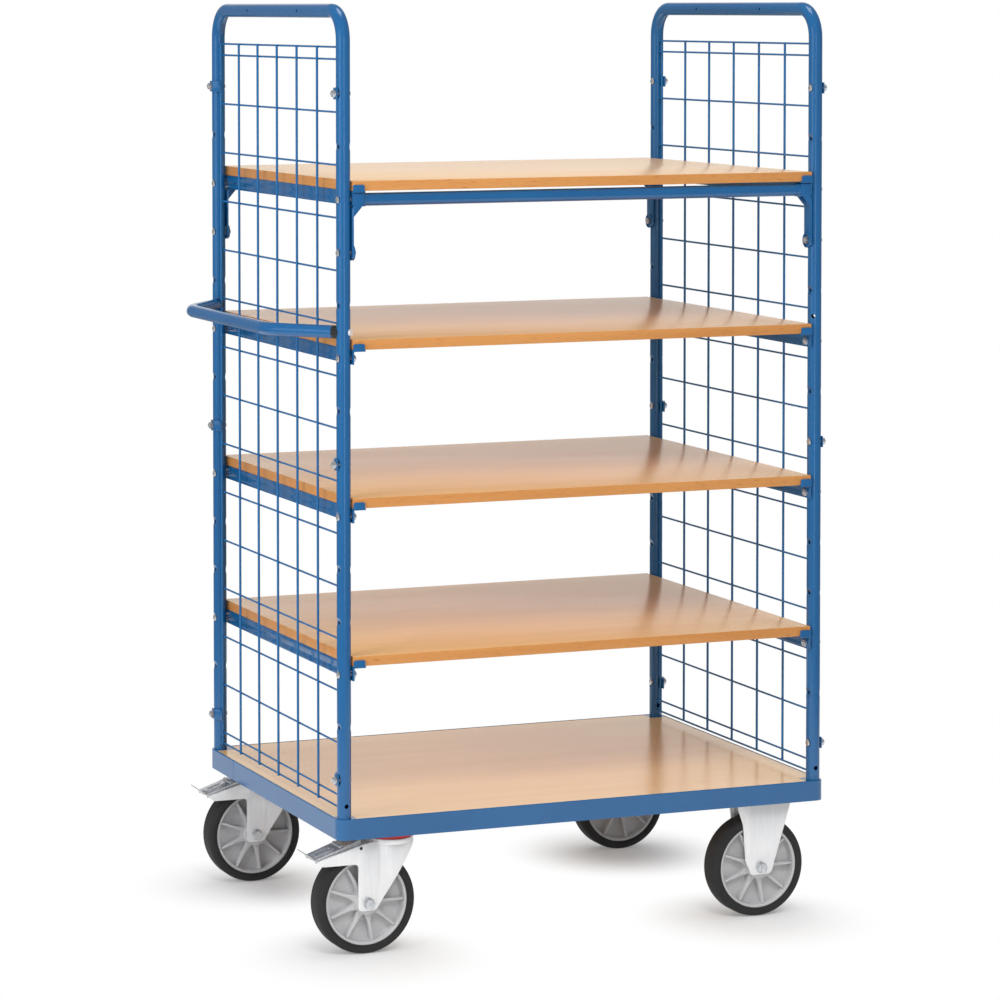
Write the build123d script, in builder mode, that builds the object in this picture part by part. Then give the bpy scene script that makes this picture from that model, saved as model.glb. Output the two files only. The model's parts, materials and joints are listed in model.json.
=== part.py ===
"""Shelved mesh trolley: wheeled base, two mesh end walls, four shelves and a push handle.

Millimetres. Z is up from the floor. X runs along the trolley, from the handle end to the fixed
castors, and Y runs from the open front to the open back. The origin is on the floor, under the
middle of the whole trolley.
"""

import os
from math import cos, hypot, radians, sin, sqrt

from build123d import *

os.makedirs("parts", exist_ok=True)

# Overall sizes
post_span_x = 1000.0  # left posts to right posts, between tube axes
post_span_y = 700.0  # front posts to back posts, between tube axes
wheel_d = 200.0
castor_head = 37.0  # from the top of a wheel to the castor's mounting face

# End frames
tube_d = 27.0
tube_wall = 2.0
top_bend_r = 56.0  # of the tube's centre line
hole_pitch = 100.0
hole_count = 14
hole_d = 8.5
first_hole_rise = 73.0  # above the rim of the base frame
top_rise = 155.5  # top tube's axis above the highest hole
dimple_half = 10.5  # half of a dimple's height
dimple_depth = 4.0
foot_hole_d = 8.6
foot_hole_rise = 24.0  # above the rim of the base frame
top_hole_d = 6.0
top_hole_span = 280.0

# Base frame and deck
post_gap = 1.5  # between a post and the inside of the rim
rim_corner_r = 20.0
rim_wall = 3.0
rim_height = 40.0
rim_drop = 7.0  # of the rim below the castors' mounting face
ledge_width = 30.0
ledge_thick = 3.0
deck_thick = 18.0
deck_recess = 0.5  # of the deck below the rim
corner_plate_spare = 6.5  # of a corner plate past its post
corner_plate_thick = 4.0
channel_width = 150.0
channel_floor = 4.0
channel_web = 3.0
board_edge_r = 0.8
rim_edge_r = 1.2

# Mesh panels
upright_d = 4.8
level_d = 4.0
upright_count = 7
level_count = 15  # evenly spaced level wires, without the two closing ones
closing_gap = 23.0  # from the first and last of them to the closing wires
mesh_low_rise = 37.0  # lowest evenly spaced wire above the rim
mesh_high_rise = 64.0  # highest evenly spaced wire above the top hole
edge_wire_gap = 20.0  # from the post axes in to the edge uprights
upright_offset = 2.2  # of the uprights outside the plane of the post axes
weld_bite = 0.4  # overlap of two crossing wires
wire_tail = 2.0  # of an upright past the closing wires

# Mesh clips, on three hole rows counted from the bottom
clip_rows = (0, 6, 13)
clip_thick = 2.5
clip_height = 22.0
clip_back = 8.0  # of a clip behind its bolt
clip_front = 9.0  # of the flat part in front of its bolt
clip_slope = 7.5  # of the sloping part, along the wall
clip_grip = 10.5  # of the part that lies over the wire

# Fasteners
bolt_d = 7.9
nut_bore_d = 8.0
nut_flats = 13.0
nut_height = 6.5
button_d = 14.0  # of the low round heads on the posts
button_height = 2.5
castor_bolt_head = 5.3
bolt_tail = 2.0  # of a bolt past its nut
castor_bolt_tail = 0.5  # the same under the ledge

# Shelves, on four hole rows counted from the bottom
shelf_rows = (11, 8, 5, 2)  # shelf 1 is the top one
shelf_thick = 19.0
shelf_overhang = 14.0  # of a board past the post axes, front and back
rail_thick = 3.0
rail_drop = 11.0  # of a rail below its bolts
rail_seat = 16.5  # board's underside above the bolts
rail_width = 25.0
tab_length = 23.0
tab_rise = 28.5  # top of a tab above the bolts
tab_corner_r = 4.0

# Top braces and their brackets
brace_d = 24.5
brace_wall = 1.5
sleeve_d = 26.6
sleeve_end = 44.0  # open end of a sleeve, from the post axis
brace_start = 28.0  # end of the brace tube, from the post axis
bracket_thick = 3.0
bracket_width = 27.5
bracket_top = 12.3  # above the upper bolt, and of the cheeks below it
joggle_drop = 5.0  # height over which a bracket steps back from the rail to the post
cheek_thick = 2.5
cheek_end = 38.0  # of the cheeks beside a sleeve, from the post axis
gusset_end = 34.0  # of the cheeks' slope, from the post axis
gusset_drop = 20.0
ear_d = 30.0
ear_wall = 2.5
ear_rim = 3.0  # of the ear's rim round its nut

# Push handle
handle_d = 25.0
handle_wall = 2.0
handle_reach = 106.0  # bar axis outside the left post axes
handle_shoulder = 125.0  # from a post axis along the wall to the bar's corner
handle_bend_r = 70.0
handle_row = 8  # the handle sits half a pitch above this hole
saddle_length = 8.0
plug_length = 15.0
handle_head_d = 13.0
handle_head_height = 4.0

# Castors
castor_inset = 125.0  # swivel axis from the left end of the rim
fixed_inset = 115.0  # plate centre from the right end of the rim
fixed_axle_set = 14.0  # fixed axle towards the handle from its plate centre
castor_y = 310.0
trail = 54.0  # swivel axis to axle
plate_length = 146.0
plate_width = 96.0
plate_thick = 5.0
plate_corner_r = 10.0
plate_bolt_x = 120.0
plate_bolt_y = 75.0
fork_gap = 60.0
fork_thick = 4.0
axle_drop = 14.0  # of a fork's foot below the axle
foot_r = 8.0
fork_front = 21.0  # of a swivel fork's foot towards the handle, from its axle
fork_rear = 15.0  # of a swivel fork's foot the other way
arm_drop = 23.0  # of a swivel fork's arm below the top of the wheel
arm_tip_setback = 13.0  # of the arm's lower corner behind its tip
arm_tip_r = 2.0
fixed_front = 24.0  # of a fixed fork towards the handle, from its axle
fixed_rear = 22.0  # of a fixed fork's foot the other way
fixed_rear_top = 66.0  # and of its top
wing_top = 18.0  # of the slanting wing beside a fixed fork, at the plate
wing_middle = 8.0  # where it passes the tyre
wing_foot = 3.0
wing_thick = 3.0
tyre_thick = 17.0
tyre_width = 48.0
tyre_shoulder_r = 10.0
rim_width = 42.0
rim_ring = 6.0
rim_floor = 4.0
web_thick = 8.0
hub_d = 46.0
hub_width = 58.0
rib_count = 9
rib_thick = 4.0  # of a rib where it meets the ring
rib_waist = 5.0  # and part of the way in
rib_waist_r = 40.0
rib_root = 14.0  # where it flares out into the hub
bearing_d = 28.0
bearing_width = 56.0
axle_tube_d = 20.0
axle_d = 11.9
axle_flats = 19.0
axle_head = 8.0
axle_nut = 10.0
axle_tail = 3.0

# Swivel heads
crown_thick = 4.0
crown_drop = 18.0  # top of the crown below the mounting face
crown_d = 88.0
crown_front = 50.0  # of the crown towards the handle, from the swivel axis
crown_rear = 40.0  # of the crown the other way
king_pin_d = 16.0
king_head_d = 28.0
king_head_height = 6.0
race_inner_d = 48.0
race_outer_d = 73.0
race_height = 4.2
ball_d = 8.0
ball_count = 16
ball_ring_d = 60.0
seal_inner_d = 76.4
seal_outer_d = 88.0

# Brake pedals
pedal_slope = 19.6  # degrees, down towards the tip
pedal_pin_x = 70.0  # from the swivel axis
pedal_pin_z = 7.0  # above the top of the wheel
pedal_pin_d = 7.0
pedal_length = 92.0  # from the pin to the tip
pedal_width = 52.0
pedal_sheet = 2.5
pedal_top = 14.0  # upper face above the pin, square to the sheet
pedal_heel = 6.0  # of the pedal behind its pin
pedal_skirt = 5.0  # of the side flanges below the pin
pedal_tip_depth = 7.0  # of the side flanges at the tip
slot_place = 64.0  # middle of the slot, from the pin
slot_length = 30.0
slot_width = 7.0
frame_length = 46.0
frame_width = 26.0
frame_height = 1.6
roll_place = 32.0
roll_d = 10.0
roll_length = 40.0
lip_length = 24.0
lip_angle = 55.0  # degrees, up from the pedal
lip_thick = 1.5
lip_margin = 2.0  # of the lip inside the pedal's edges

# Clearances
running = 0.05  # radial, where one piece turns on another
seat_gap = 0.05  # between pieces that are clamped together
loose = 0.5  # round pieces that are laid in place
axial = 0.3  # along a shaft, where one piece turns beside another

# Heights
mount_z = wheel_d + castor_head
rim_bottom = mount_z - rim_drop
rim_top = rim_bottom + rim_height
deck_top = rim_top - deck_recess
deck_bottom = deck_top - deck_thick
hole_rows = [rim_top + first_hole_rise + i * hole_pitch for i in range(hole_count)]
top_axis_z = hole_rows[-1] + top_rise
handle_z = hole_rows[handle_row] + hole_pitch / 2
plate_bottom = mount_z - plate_thick
crown_top = mount_z - crown_drop
crown_bottom = crown_top - crown_thick
axle_z = wheel_d / 2

# Distances from a post axis, across its wall
tube_r = tube_d / 2
rim_margin = tube_r + post_gap + rim_wall
dimple_r = (dimple_half**2 + dimple_depth**2) / (2 * dimple_depth)  # of the tool that presses it
dimple_axis = tube_r - dimple_depth + dimple_r
head_seat = dimple_axis - sqrt(dimple_r**2 - (button_d / 2) ** 2) + seat_gap
clip_seat = tube_r + seat_gap
rail_back = tube_r + seat_gap
rail_face = rail_back + rail_thick
bracket_face = rail_face + bracket_thick
leg_face = rail_back + bracket_thick
clip_face = clip_seat + clip_thick
clip_bolt_end = clip_face + nut_height + bolt_tail

# Places along the trolley, with the whole length centred on the origin
left_overhang = handle_reach + handle_d / 2
right_overhang = max(rim_margin, clip_bolt_end)
left_x = left_overhang - (left_overhang + post_span_x + right_overhang) / 2
right_x = left_x + post_span_x
middle_x = (left_x + right_x) / 2
post_y = post_span_y / 2
rim_x = post_span_x + 2 * rim_margin
rim_y = post_span_y + 2 * rim_margin
swivel_x = left_x - rim_margin + castor_inset
fixed_x = right_x + rim_margin - fixed_inset
walls = (("left", left_x, -1), ("right", right_x, 1))  # name, place and outward direction
sides = (("front", -1), ("back", 1))


def save(piece, name):
    """Label a finished piece and write it to its own file."""
    piece.part.label = name
    export_step(piece.part, f"parts/{name}.step")


def across_x(x):
    """Plane that faces +X, drawn on in Y and Z."""
    return Plane.YZ.offset(x)


def across_y(y):
    """Plane that faces -Y, drawn on in X and Z."""
    return Plane.XZ.offset(-y)


def level(z):
    """Plane that faces +Z, drawn on in X and Y."""
    return Plane.XY.offset(z)


def hex_row(plane, points, flats, height, bore=0.0):
    """Hexagonal prisms on a plane, such as bolt heads, or nuts where a bore is given."""
    with BuildSketch(plane) as outline:
        with Locations(*points):
            RegularPolygon(flats / 2, 6, major_radius=False)
            if bore:
                Circle(bore / 2, mode=Mode.SUBTRACT)
    extrude(outline.sketch, amount=height)


def rod_row(plane, points, diameter, length):
    """Round rods that stand on a plane, such as bolt shanks."""
    with BuildSketch(plane) as outline:
        with Locations(*points):
            Circle(diameter / 2)
    extrude(outline.sketch, amount=length)


def handle_direction(out, side):
    """Unit vector from a post towards the corner of a handle on that wall."""
    size = hypot(handle_reach, handle_shoulder)
    return Vector(out * handle_reach / size, -side * handle_shoulder / size, 0)


# Base frame: rim, ledge, corner plates and the two channels that carry the castors
inner_x = rim_x - 2 * rim_wall
inner_y = rim_y - 2 * rim_wall
inner_corner_r = rim_corner_r - rim_wall
corner_plate_side = post_gap + tube_d + corner_plate_spare
plate_centres = [(x, side * castor_y) for x in (swivel_x, fixed_x) for _, side in sides]
post_places = [(x, side * post_y) for _, x, _ in walls for _, side in sides]
with BuildPart() as base_frame:
    with BuildSketch(level(rim_bottom)):
        with Locations((middle_x, 0)):
            RectangleRounded(rim_x, rim_y, rim_corner_r)
    extrude(amount=rim_height)
    fillet(base_frame.faces().sort_by(Axis.Z)[-1].edges(), rim_edge_r)
    with BuildSketch(level(rim_bottom)):
        with Locations((middle_x, 0)):
            RectangleRounded(inner_x, inner_y, inner_corner_r)
    extrude(amount=rim_height, mode=Mode.SUBTRACT)
    with BuildSketch(level(deck_bottom)):
        with Locations((middle_x, 0)):
            RectangleRounded(inner_x, inner_y, inner_corner_r)
            Rectangle(inner_x - 2 * ledge_width, inner_y - 2 * ledge_width, mode=Mode.SUBTRACT)
    extrude(amount=-ledge_thick)
    for x in (swivel_x, fixed_x):
        with BuildSketch(level(mount_z)):
            with Locations((x, 0)):
                Rectangle(channel_width, inner_y)
        extrude(amount=channel_floor)
        with BuildSketch(level(mount_z)):
            with Locations((x, 0)):
                with GridLocations(channel_width - channel_web, 0, 2, 1):
                    Rectangle(channel_web, inner_y)
        extrude(amount=deck_bottom - mount_z)
    with BuildSketch(level(deck_top)):
        with Locations((middle_x, 0)):
            RectangleRounded(inner_x, inner_y, inner_corner_r)
            Rectangle(inner_x - 2 * corner_plate_side, inner_y, mode=Mode.SUBTRACT)
            Rectangle(inner_x, inner_y - 2 * corner_plate_side, mode=Mode.SUBTRACT)
    extrude(amount=-corner_plate_thick)
    with BuildSketch(level(deck_bottom)):
        with Locations(*post_places):
            Circle(tube_r + seat_gap)
    extrude(amount=deck_thick, mode=Mode.SUBTRACT)
    with BuildSketch(level(mount_z)):
        for centre in plate_centres:
            with Locations(centre):
                with GridLocations(plate_bolt_x, plate_bolt_y, 2, 2):
                    Circle(hole_d / 2)
    extrude(amount=channel_floor, mode=Mode.SUBTRACT)
save(base_frame, "base_frame")

# Deck board, with its corners cut away round the posts
deck_x = inner_x - 2 * loose
deck_y = inner_y - 2 * loose
with BuildPart() as deck_board:
    with BuildSketch(level(deck_bottom)):
        with Locations((middle_x, 0)):
            Rectangle(deck_x, deck_y - 2 * corner_plate_side)
            Rectangle(deck_x - 2 * corner_plate_side, deck_y)
    extrude(amount=deck_thick)
    fillet(deck_board.faces().sort_by(Axis.Z)[-1].edges(), board_edge_r)
save(deck_board, "deck_board")

# End frames: one bent tube each, with dimpled holes up both legs
top_hole_places = [(side * top_hole_span / 2, top_axis_z) for _, side in sides]
leg_hole_places = [(side * post_y, z) for _, side in sides for z in hole_rows]
for wall, wall_x, out in walls:
    corners = ((-post_y, top_axis_z), (post_y, top_axis_z))
    frame_path = [(-post_y, deck_bottom), *corners, (post_y, deck_bottom)]
    dimple_places = [(wall_x + a * dimple_axis, y, z) for a in (-1, 1) for y, z in leg_hole_places]
    with BuildPart() as bore:
        with BuildLine(across_x(wall_x)):
            FilletPolyline(*frame_path, radius=top_bend_r)
        with BuildSketch(level(deck_bottom)):
            with Locations((wall_x, -post_y)):
                Circle(tube_r - tube_wall)
        sweep()
        with Locations(*dimple_places):
            Cylinder(dimple_r + tube_wall, tube_d, rotation=(90, 0, 0), mode=Mode.SUBTRACT)
    with BuildPart() as end_frame:
        with BuildLine(across_x(wall_x)):
            FilletPolyline(*frame_path, radius=top_bend_r)
        with BuildSketch(level(deck_bottom)):
            with Locations((wall_x, -post_y)):
                Circle(tube_r)
        sweep()
        with Locations(*dimple_places):
            Cylinder(dimple_r, 2 * tube_d, rotation=(90, 0, 0), mode=Mode.SUBTRACT)
        add(bore.part, mode=Mode.SUBTRACT)
        with BuildSketch(across_x(wall_x)):
            with Locations(*leg_hole_places):
                Circle(hole_d / 2)
            with Locations(*top_hole_places):
                Circle(top_hole_d / 2)
        extrude(amount=tube_d, both=True, mode=Mode.SUBTRACT)
        for _, side in sides:
            foot_hole = (wall_x, side * post_y, rim_top + foot_hole_rise)
            with Locations(foot_hole):
                Cylinder(foot_hole_d / 2, 2 * tube_d, rotation=(90, 0, 0), mode=Mode.SUBTRACT)
            handle_hole = Plane((wall_x, side * post_y, handle_z), z_dir=handle_direction(out, side))
            with Locations(handle_hole):
                Cylinder(hole_d / 2, 2 * tube_d, mode=Mode.SUBTRACT)
    save(end_frame, f"end_frame_{wall}")

# Mesh panels: uprights outside, level wires inside, welded where they cross
mesh_low = rim_top + mesh_low_rise
mesh_high = hole_rows[-1] + mesh_high_rise
level_gap = (mesh_high - mesh_low) / (level_count - 1)
level_heights = [mesh_low + i * level_gap for i in range(level_count)]
level_heights += [mesh_low - closing_gap, mesh_high + closing_gap]
edge_wire_y = post_y - edge_wire_gap
upright_gap = 2 * edge_wire_y / (upright_count - 1)
upright_low = mesh_low - closing_gap - wire_tail
upright_height = mesh_high - mesh_low + 2 * (closing_gap + wire_tail)
level_offset = upright_offset - (upright_d + level_d) / 2 + weld_bite
level_half = post_y - sqrt(tube_r**2 - (abs(level_offset) - level_d / 2) ** 2) - loose
for wall, wall_x, out in walls:
    with BuildPart() as mesh_panel:
        with BuildSketch(level(upright_low)):
            with Locations((wall_x + out * upright_offset, 0)):
                with GridLocations(0, upright_gap, 1, upright_count):
                    Circle(upright_d / 2)
        extrude(amount=upright_height)
        with BuildSketch(Plane.XZ):
            with Locations(*[(wall_x + out * level_offset, z) for z in level_heights]):
                Circle(level_d / 2)
        extrude(amount=level_half, both=True)
    save(mesh_panel, f"mesh_panel_{wall}")

# Mesh clips: straps bolted to the posts that lie over the edge wires
wire_face = upright_offset + upright_d / 2 + seat_gap
clip_line = [
    (clip_seat + clip_thick / 2, -clip_back),
    (clip_seat + clip_thick / 2, clip_front),
    (wire_face + clip_thick / 2, clip_front + clip_slope),
    (wire_face + clip_thick / 2, clip_front + clip_slope + clip_grip),
]
clip_places = [(side * post_y, hole_rows[row]) for _, side in sides for row in clip_rows]
with BuildPart() as mesh_clips:
    for _, wall_x, out in walls:
        for _, side in sides:
            strap = [(wall_x + out * across, side * (post_y - along)) for across, along in clip_line]
            for row in clip_rows:
                with BuildSketch(level(hole_rows[row] - clip_height / 2)):
                    with BuildLine():
                        Polyline(*strap)
                    trace(line_width=clip_thick)
                extrude(amount=clip_height)
        with BuildSketch(across_x(wall_x)):
            with Locations(*clip_places):
                Circle(hole_d / 2)
        extrude(amount=out * 2 * tube_d, mode=Mode.SUBTRACT)
save(mesh_clips, "mesh_clips")

with BuildPart() as clip_bolts:
    for _, wall_x, out in walls:
        seat = across_x(wall_x - out * head_seat)
        rod_row(seat, clip_places, button_d, -out * button_height)
        rod_row(seat, clip_places, bolt_d, out * (head_seat + clip_bolt_end))
save(clip_bolts, "clip_bolts")

# Shelf boards and the rails that carry their ends
board_gap = tube_r + loose
board_x = post_span_x - 2 * board_gap
board_half = post_y + shelf_overhang
tab_half = board_half + axial + rail_thick
for number, row in enumerate(shelf_rows, 1):
    bolt_z = hole_rows[row]
    seat_z = bolt_z + rail_seat
    with BuildPart() as shelf_board:
        with BuildSketch(level(seat_z)):
            with Locations((middle_x, 0)):
                Rectangle(board_x, 2 * board_half)
        extrude(amount=shelf_thick)
        fillet(shelf_board.edges(), board_edge_r)
    save(shelf_board, f"shelf_board_{number}")
    for wall, wall_x, out in walls:
        back_x = wall_x - out * rail_back
        with BuildPart() as shelf_rail:
            with BuildSketch(across_x(back_x)):
                with Locations((0, bolt_z - rail_drop)):
                    Rectangle(2 * board_half, rail_drop + rail_seat, align=(Align.CENTER, Align.MIN))
            extrude(amount=-out * rail_thick)
            with BuildSketch(across_x(back_x)):
                with Locations((0, seat_z)):
                    Rectangle(2 * tab_half, rail_thick, align=(Align.CENTER, Align.MAX))
            extrude(amount=-out * rail_width)
            with BuildSketch(across_x(wall_x - out * board_gap)):
                with Locations((0, seat_z - rail_thick)):
                    with GridLocations(2 * tab_half - rail_thick, 0, 2, 1):
                        Rectangle(
                            rail_thick,
                            tab_rise - rail_seat + rail_thick,
                            align=(Align.CENTER, Align.MIN),
                        )
            extrude(amount=-out * tab_length)
            tab_tops = shelf_rail.edges().filter_by(Axis.Y).group_by(Axis.Z)[-1]
            fillet(tab_tops, tab_corner_r)
            with BuildSketch(across_x(wall_x)):
                with Locations(*[(side * post_y, bolt_z) for _, side in sides]):
                    Circle(hole_d / 2)
            extrude(amount=-out * 2 * tube_d, mode=Mode.SUBTRACT)
        save(shelf_rail, f"shelf_rail_{number}_{wall}")

# Top braces and the brackets that hold them on the posts
brace_z = hole_rows[shelf_rows[0]]
bracket_low_z = hole_rows[shelf_rows[0] - 1]
brace_places = [(side * post_y, brace_z) for _, side in sides]
bracket_low_places = [(side * post_y, bracket_low_z) for _, side in sides]
for name, side in sides:
    with BuildPart() as top_brace:
        with BuildSketch(across_x(left_x + brace_start)):
            with Locations((side * post_y, brace_z)):
                Circle(brace_d / 2)
                Circle(brace_d / 2 - brace_wall, mode=Mode.SUBTRACT)
        extrude(amount=post_span_x - 2 * brace_start)
    save(top_brace, f"top_brace_{name}")

# A bracket is a strap that steps back below the rail, with a cheek on each side of the sleeve
cheek_foot = brace_z - bracket_top
joggle_high = brace_z - rail_drop - loose
joggle_low = joggle_high - joggle_drop
strap_line = [
    (rail_face, brace_z + bracket_top),
    (rail_face, joggle_high),
    (rail_back, joggle_low),
    (rail_back, bracket_low_z),
    (leg_face, bracket_low_z),
    (leg_face, joggle_low),
    (bracket_face, joggle_high),
    (bracket_face, brace_z + bracket_top),
]
cheek_line = [
    (rail_face, brace_z + bracket_top),
    (cheek_end, brace_z + bracket_top),
    (cheek_end, cheek_foot),
    (gusset_end, cheek_foot),
    (leg_face, cheek_foot - gusset_drop),
    (rail_back, cheek_foot - gusset_drop),
    (rail_back, joggle_low),
    (rail_face, joggle_high),
]
cheek_offset = (bracket_width - cheek_thick) / 2
with BuildPart() as brace_brackets:
    for _, wall_x, out in walls:
        face_x = wall_x - out * rail_face
        rod_row(across_x(face_x), brace_places, sleeve_d, -out * (sleeve_end - rail_face))
        for _, side in sides:
            with BuildSketch(across_y(side * post_y)):
                with BuildLine():
                    Polyline(*[(wall_x - out * inward, z) for inward, z in strap_line], close=True)
                make_face()
            extrude(amount=bracket_width / 2, both=True)
            for offset in (-cheek_offset, cheek_offset):
                with BuildSketch(across_y(side * post_y + offset)):
                    with BuildLine():
                        Polyline(*[(wall_x - out * inward, z) for inward, z in cheek_line], close=True)
                    make_face()
                extrude(amount=cheek_thick / 2, both=True)
        rod_row(across_x(wall_x - out * rail_back), bracket_low_places, ear_d, -out * bracket_thick)
        with BuildSketch(across_x(wall_x - out * leg_face)):
            with Locations(*bracket_low_places):
                Circle(ear_d / 2)
                Circle(ear_d / 2 - ear_wall, mode=Mode.SUBTRACT)
        extrude(amount=-out * ear_rim)
        with BuildSketch(across_x(wall_x - out * leg_face)):
            with Locations(*bracket_low_places):
                Circle(ear_d / 2 - ear_wall)
        extrude(amount=-out * ear_rim, mode=Mode.SUBTRACT)
        with BuildSketch(across_x(wall_x - out * bracket_face)):
            with Locations(*brace_places):
                Circle(brace_d / 2 + seat_gap)
        extrude(amount=-out * sleeve_end, mode=Mode.SUBTRACT)
        with BuildSketch(across_x(wall_x)):
            with Locations(*brace_places, *bracket_low_places):
                Circle(hole_d / 2)
        extrude(amount=-out * bracket_face, mode=Mode.SUBTRACT)
save(brace_brackets, "brace_brackets")

# Bolts through the posts, heads outside, and every nut of the same size
shelf_bolt_places = [(side * post_y, hole_rows[row]) for _, side in sides for row in shelf_rows[1:]]
nut_faces = [
    (shelf_bolt_places, rail_face),
    (brace_places, bracket_face),
    (bracket_low_places, leg_face),
]
with BuildPart() as post_bolts:
    for _, wall_x, out in walls:
        seat = across_x(wall_x + out * head_seat)
        for places, face in nut_faces:
            rod_row(seat, places, button_d, out * button_height)
            rod_row(seat, places, bolt_d, -out * (head_seat + face + nut_height + bolt_tail))
save(post_bolts, "post_bolts")

castor_bolt_places = [
    (x + a * plate_bolt_x / 2, y + b * plate_bolt_y / 2)
    for x, y in plate_centres
    for a in (-1, 1)
    for b in (-1, 1)
]
with BuildPart() as castor_bolts:
    hex_row(level(plate_bottom), castor_bolt_places, nut_flats, -castor_bolt_head)
    shank = plate_thick + channel_floor + nut_height + castor_bolt_tail
    rod_row(level(plate_bottom), castor_bolt_places, bolt_d, shank)
save(castor_bolts, "castor_bolts")

with BuildPart() as hex_nuts:
    for _, wall_x, out in walls:
        hex_row(across_x(wall_x + out * clip_face), clip_places, nut_flats, out * nut_height, nut_bore_d)
        for places, face in nut_faces:
            hex_row(across_x(wall_x - out * face), places, nut_flats, -out * nut_height, nut_bore_d)
    hex_row(level(mount_z + channel_floor), castor_bolt_places, nut_flats, nut_height, nut_bore_d)
save(hex_nuts, "hex_nuts")

# Push handle: a bowed tube, with a saddle between each end and its post
tube_start = tube_r + saddle_length
handle_ends = [
    Vector(left_x, side * post_y, handle_z) + handle_direction(-1, side) * tube_start for _, side in sides
]
bar_corner_y = post_y - handle_shoulder
bar_x = left_x - handle_reach
with BuildPart() as push_handle:
    with BuildLine() as handle_line:
        FilletPolyline(
            handle_ends[0],
            (bar_x, -bar_corner_y, handle_z),
            (bar_x, bar_corner_y, handle_z),
            handle_ends[1],
            radius=handle_bend_r,
        )
    with BuildSketch(Plane(handle_ends[0], z_dir=handle_direction(-1, -1))):
        Circle(handle_d / 2)
        Circle(handle_d / 2 - handle_wall, mode=Mode.SUBTRACT)
    sweep()
save(push_handle, "push_handle")

with BuildPart() as handle_saddles:
    for _, side in sides:
        axis = Plane((left_x, side * post_y, handle_z), z_dir=handle_direction(-1, side))
        with BuildSketch(axis):
            Circle(handle_d / 2)
        extrude(amount=tube_start)
        with BuildSketch(axis.offset(tube_start)):
            Circle(handle_d / 2 - handle_wall - seat_gap)
        extrude(amount=plug_length)
        with BuildSketch(axis):
            Circle(nut_bore_d / 2)
        extrude(amount=tube_start + plug_length, mode=Mode.SUBTRACT)
        with Locations((left_x, side * post_y, handle_z)):
            Cylinder(tube_r + seat_gap, 2 * handle_d, mode=Mode.SUBTRACT)
        with Locations((left_x - upright_offset, side * edge_wire_y, handle_z)):
            Cylinder(upright_d / 2 + loose, 2 * handle_d, mode=Mode.SUBTRACT)
save(handle_saddles, "handle_saddles")

with BuildPart() as handle_bolts:
    for _, side in sides:
        axis = Plane((left_x, side * post_y, handle_z), z_dir=handle_direction(-1, side))
        rod_row(axis.offset(-tube_r), [(0, 0)], bolt_d, tube_r + tube_start + plug_length - bolt_tail)
        rod_row(axis.offset(-tube_r), [(0, 0)], handle_head_d, -handle_head_height)
save(handle_bolts, "handle_bolts")

# Wheels: tyre, ribbed rim and bearing sleeve, on the axle of each castor
wheel_r = wheel_d / 2
rim_r = wheel_r - tyre_thick
fork_half = fork_gap / 2
fixed_axle_x = fixed_x - fixed_axle_set
wheels = [("swivel", name, swivel_x - trail, side * castor_y) for name, side in sides]
wheels += [("fixed", name, fixed_axle_x, side * castor_y) for name, side in sides]
for kind, name, x, y in wheels:
    axle = Plane((x, y, axle_z), x_dir=(1, 0, 0), z_dir=(0, -1, 0))
    with BuildPart() as tyre:
        with BuildSketch(axle.offset(-tyre_width / 2)):
            Circle(wheel_r)
        extrude(amount=tyre_width)
        fillet(tyre.edges().filter_by(GeomType.CIRCLE), tyre_shoulder_r)
        with BuildSketch(axle.offset(-tyre_width / 2)):
            Circle(rim_r + seat_gap)
        extrude(amount=tyre_width, mode=Mode.SUBTRACT)
    save(tyre, f"tyre_{kind}_{name}")

    with BuildPart() as rim:
        with BuildSketch(axle.offset(-rim_width / 2)):
            Circle(rim_r)
            Circle(rim_r - rim_ring, mode=Mode.SUBTRACT)
        extrude(amount=rim_width)
        with BuildSketch(axle.offset(-hub_width / 2)):
            Circle(hub_d / 2)
        extrude(amount=hub_width)
        with BuildSketch(axle.offset(-web_thick / 2)):
            Circle(rim_r - rim_ring / 2)
        extrude(amount=web_thick)
        rib_start = bearing_d / 2 + seat_gap
        rib_reach = rim_r - rim_ring / 2
        rib_depth = (rim_width - rim_floor) / 2
        with BuildSketch(axle.offset(-rib_depth)):
            with PolarLocations(0, rib_count):
                Polygon(
                    (rib_start, -rib_root / 2),
                    (rib_waist_r, -rib_waist / 2),
                    (rib_reach, -rib_thick / 2),
                    (rib_reach, rib_thick / 2),
                    (rib_waist_r, rib_waist / 2),
                    (rib_start, rib_root / 2),
                    align=None,
                )
        extrude(amount=2 * rib_depth)
        with BuildSketch(axle.offset(-hub_width / 2)):
            Circle(bearing_d / 2 + seat_gap)
        extrude(amount=hub_width, mode=Mode.SUBTRACT)
    save(rim, f"rim_{kind}_{name}")

    with BuildPart() as wheel_bearing:
        with BuildSketch(axle.offset(-bearing_width / 2)):
            Circle(bearing_d / 2)
            Circle(axle_tube_d / 2 + running, mode=Mode.SUBTRACT)
        extrude(amount=bearing_width)
    save(wheel_bearing, f"wheel_bearing_{kind}_{name}")


def axle_bolt(x, y):
    """Axle bolt through both fork plates, head at the front, with its nut."""
    front = across_y(y - fork_half - fork_thick)
    back = across_y(y + fork_half + fork_thick)
    grip = 2 * (fork_half + fork_thick)
    hex_row(front, [(x, axle_z)], axle_flats, axle_head)
    rod_row(front, [(x, axle_z)], axle_d, -(grip + axle_nut + axle_tail))
    hex_row(back, [(x, axle_z)], axle_flats, -axle_nut, axle_d + 2 * seat_gap)


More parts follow.
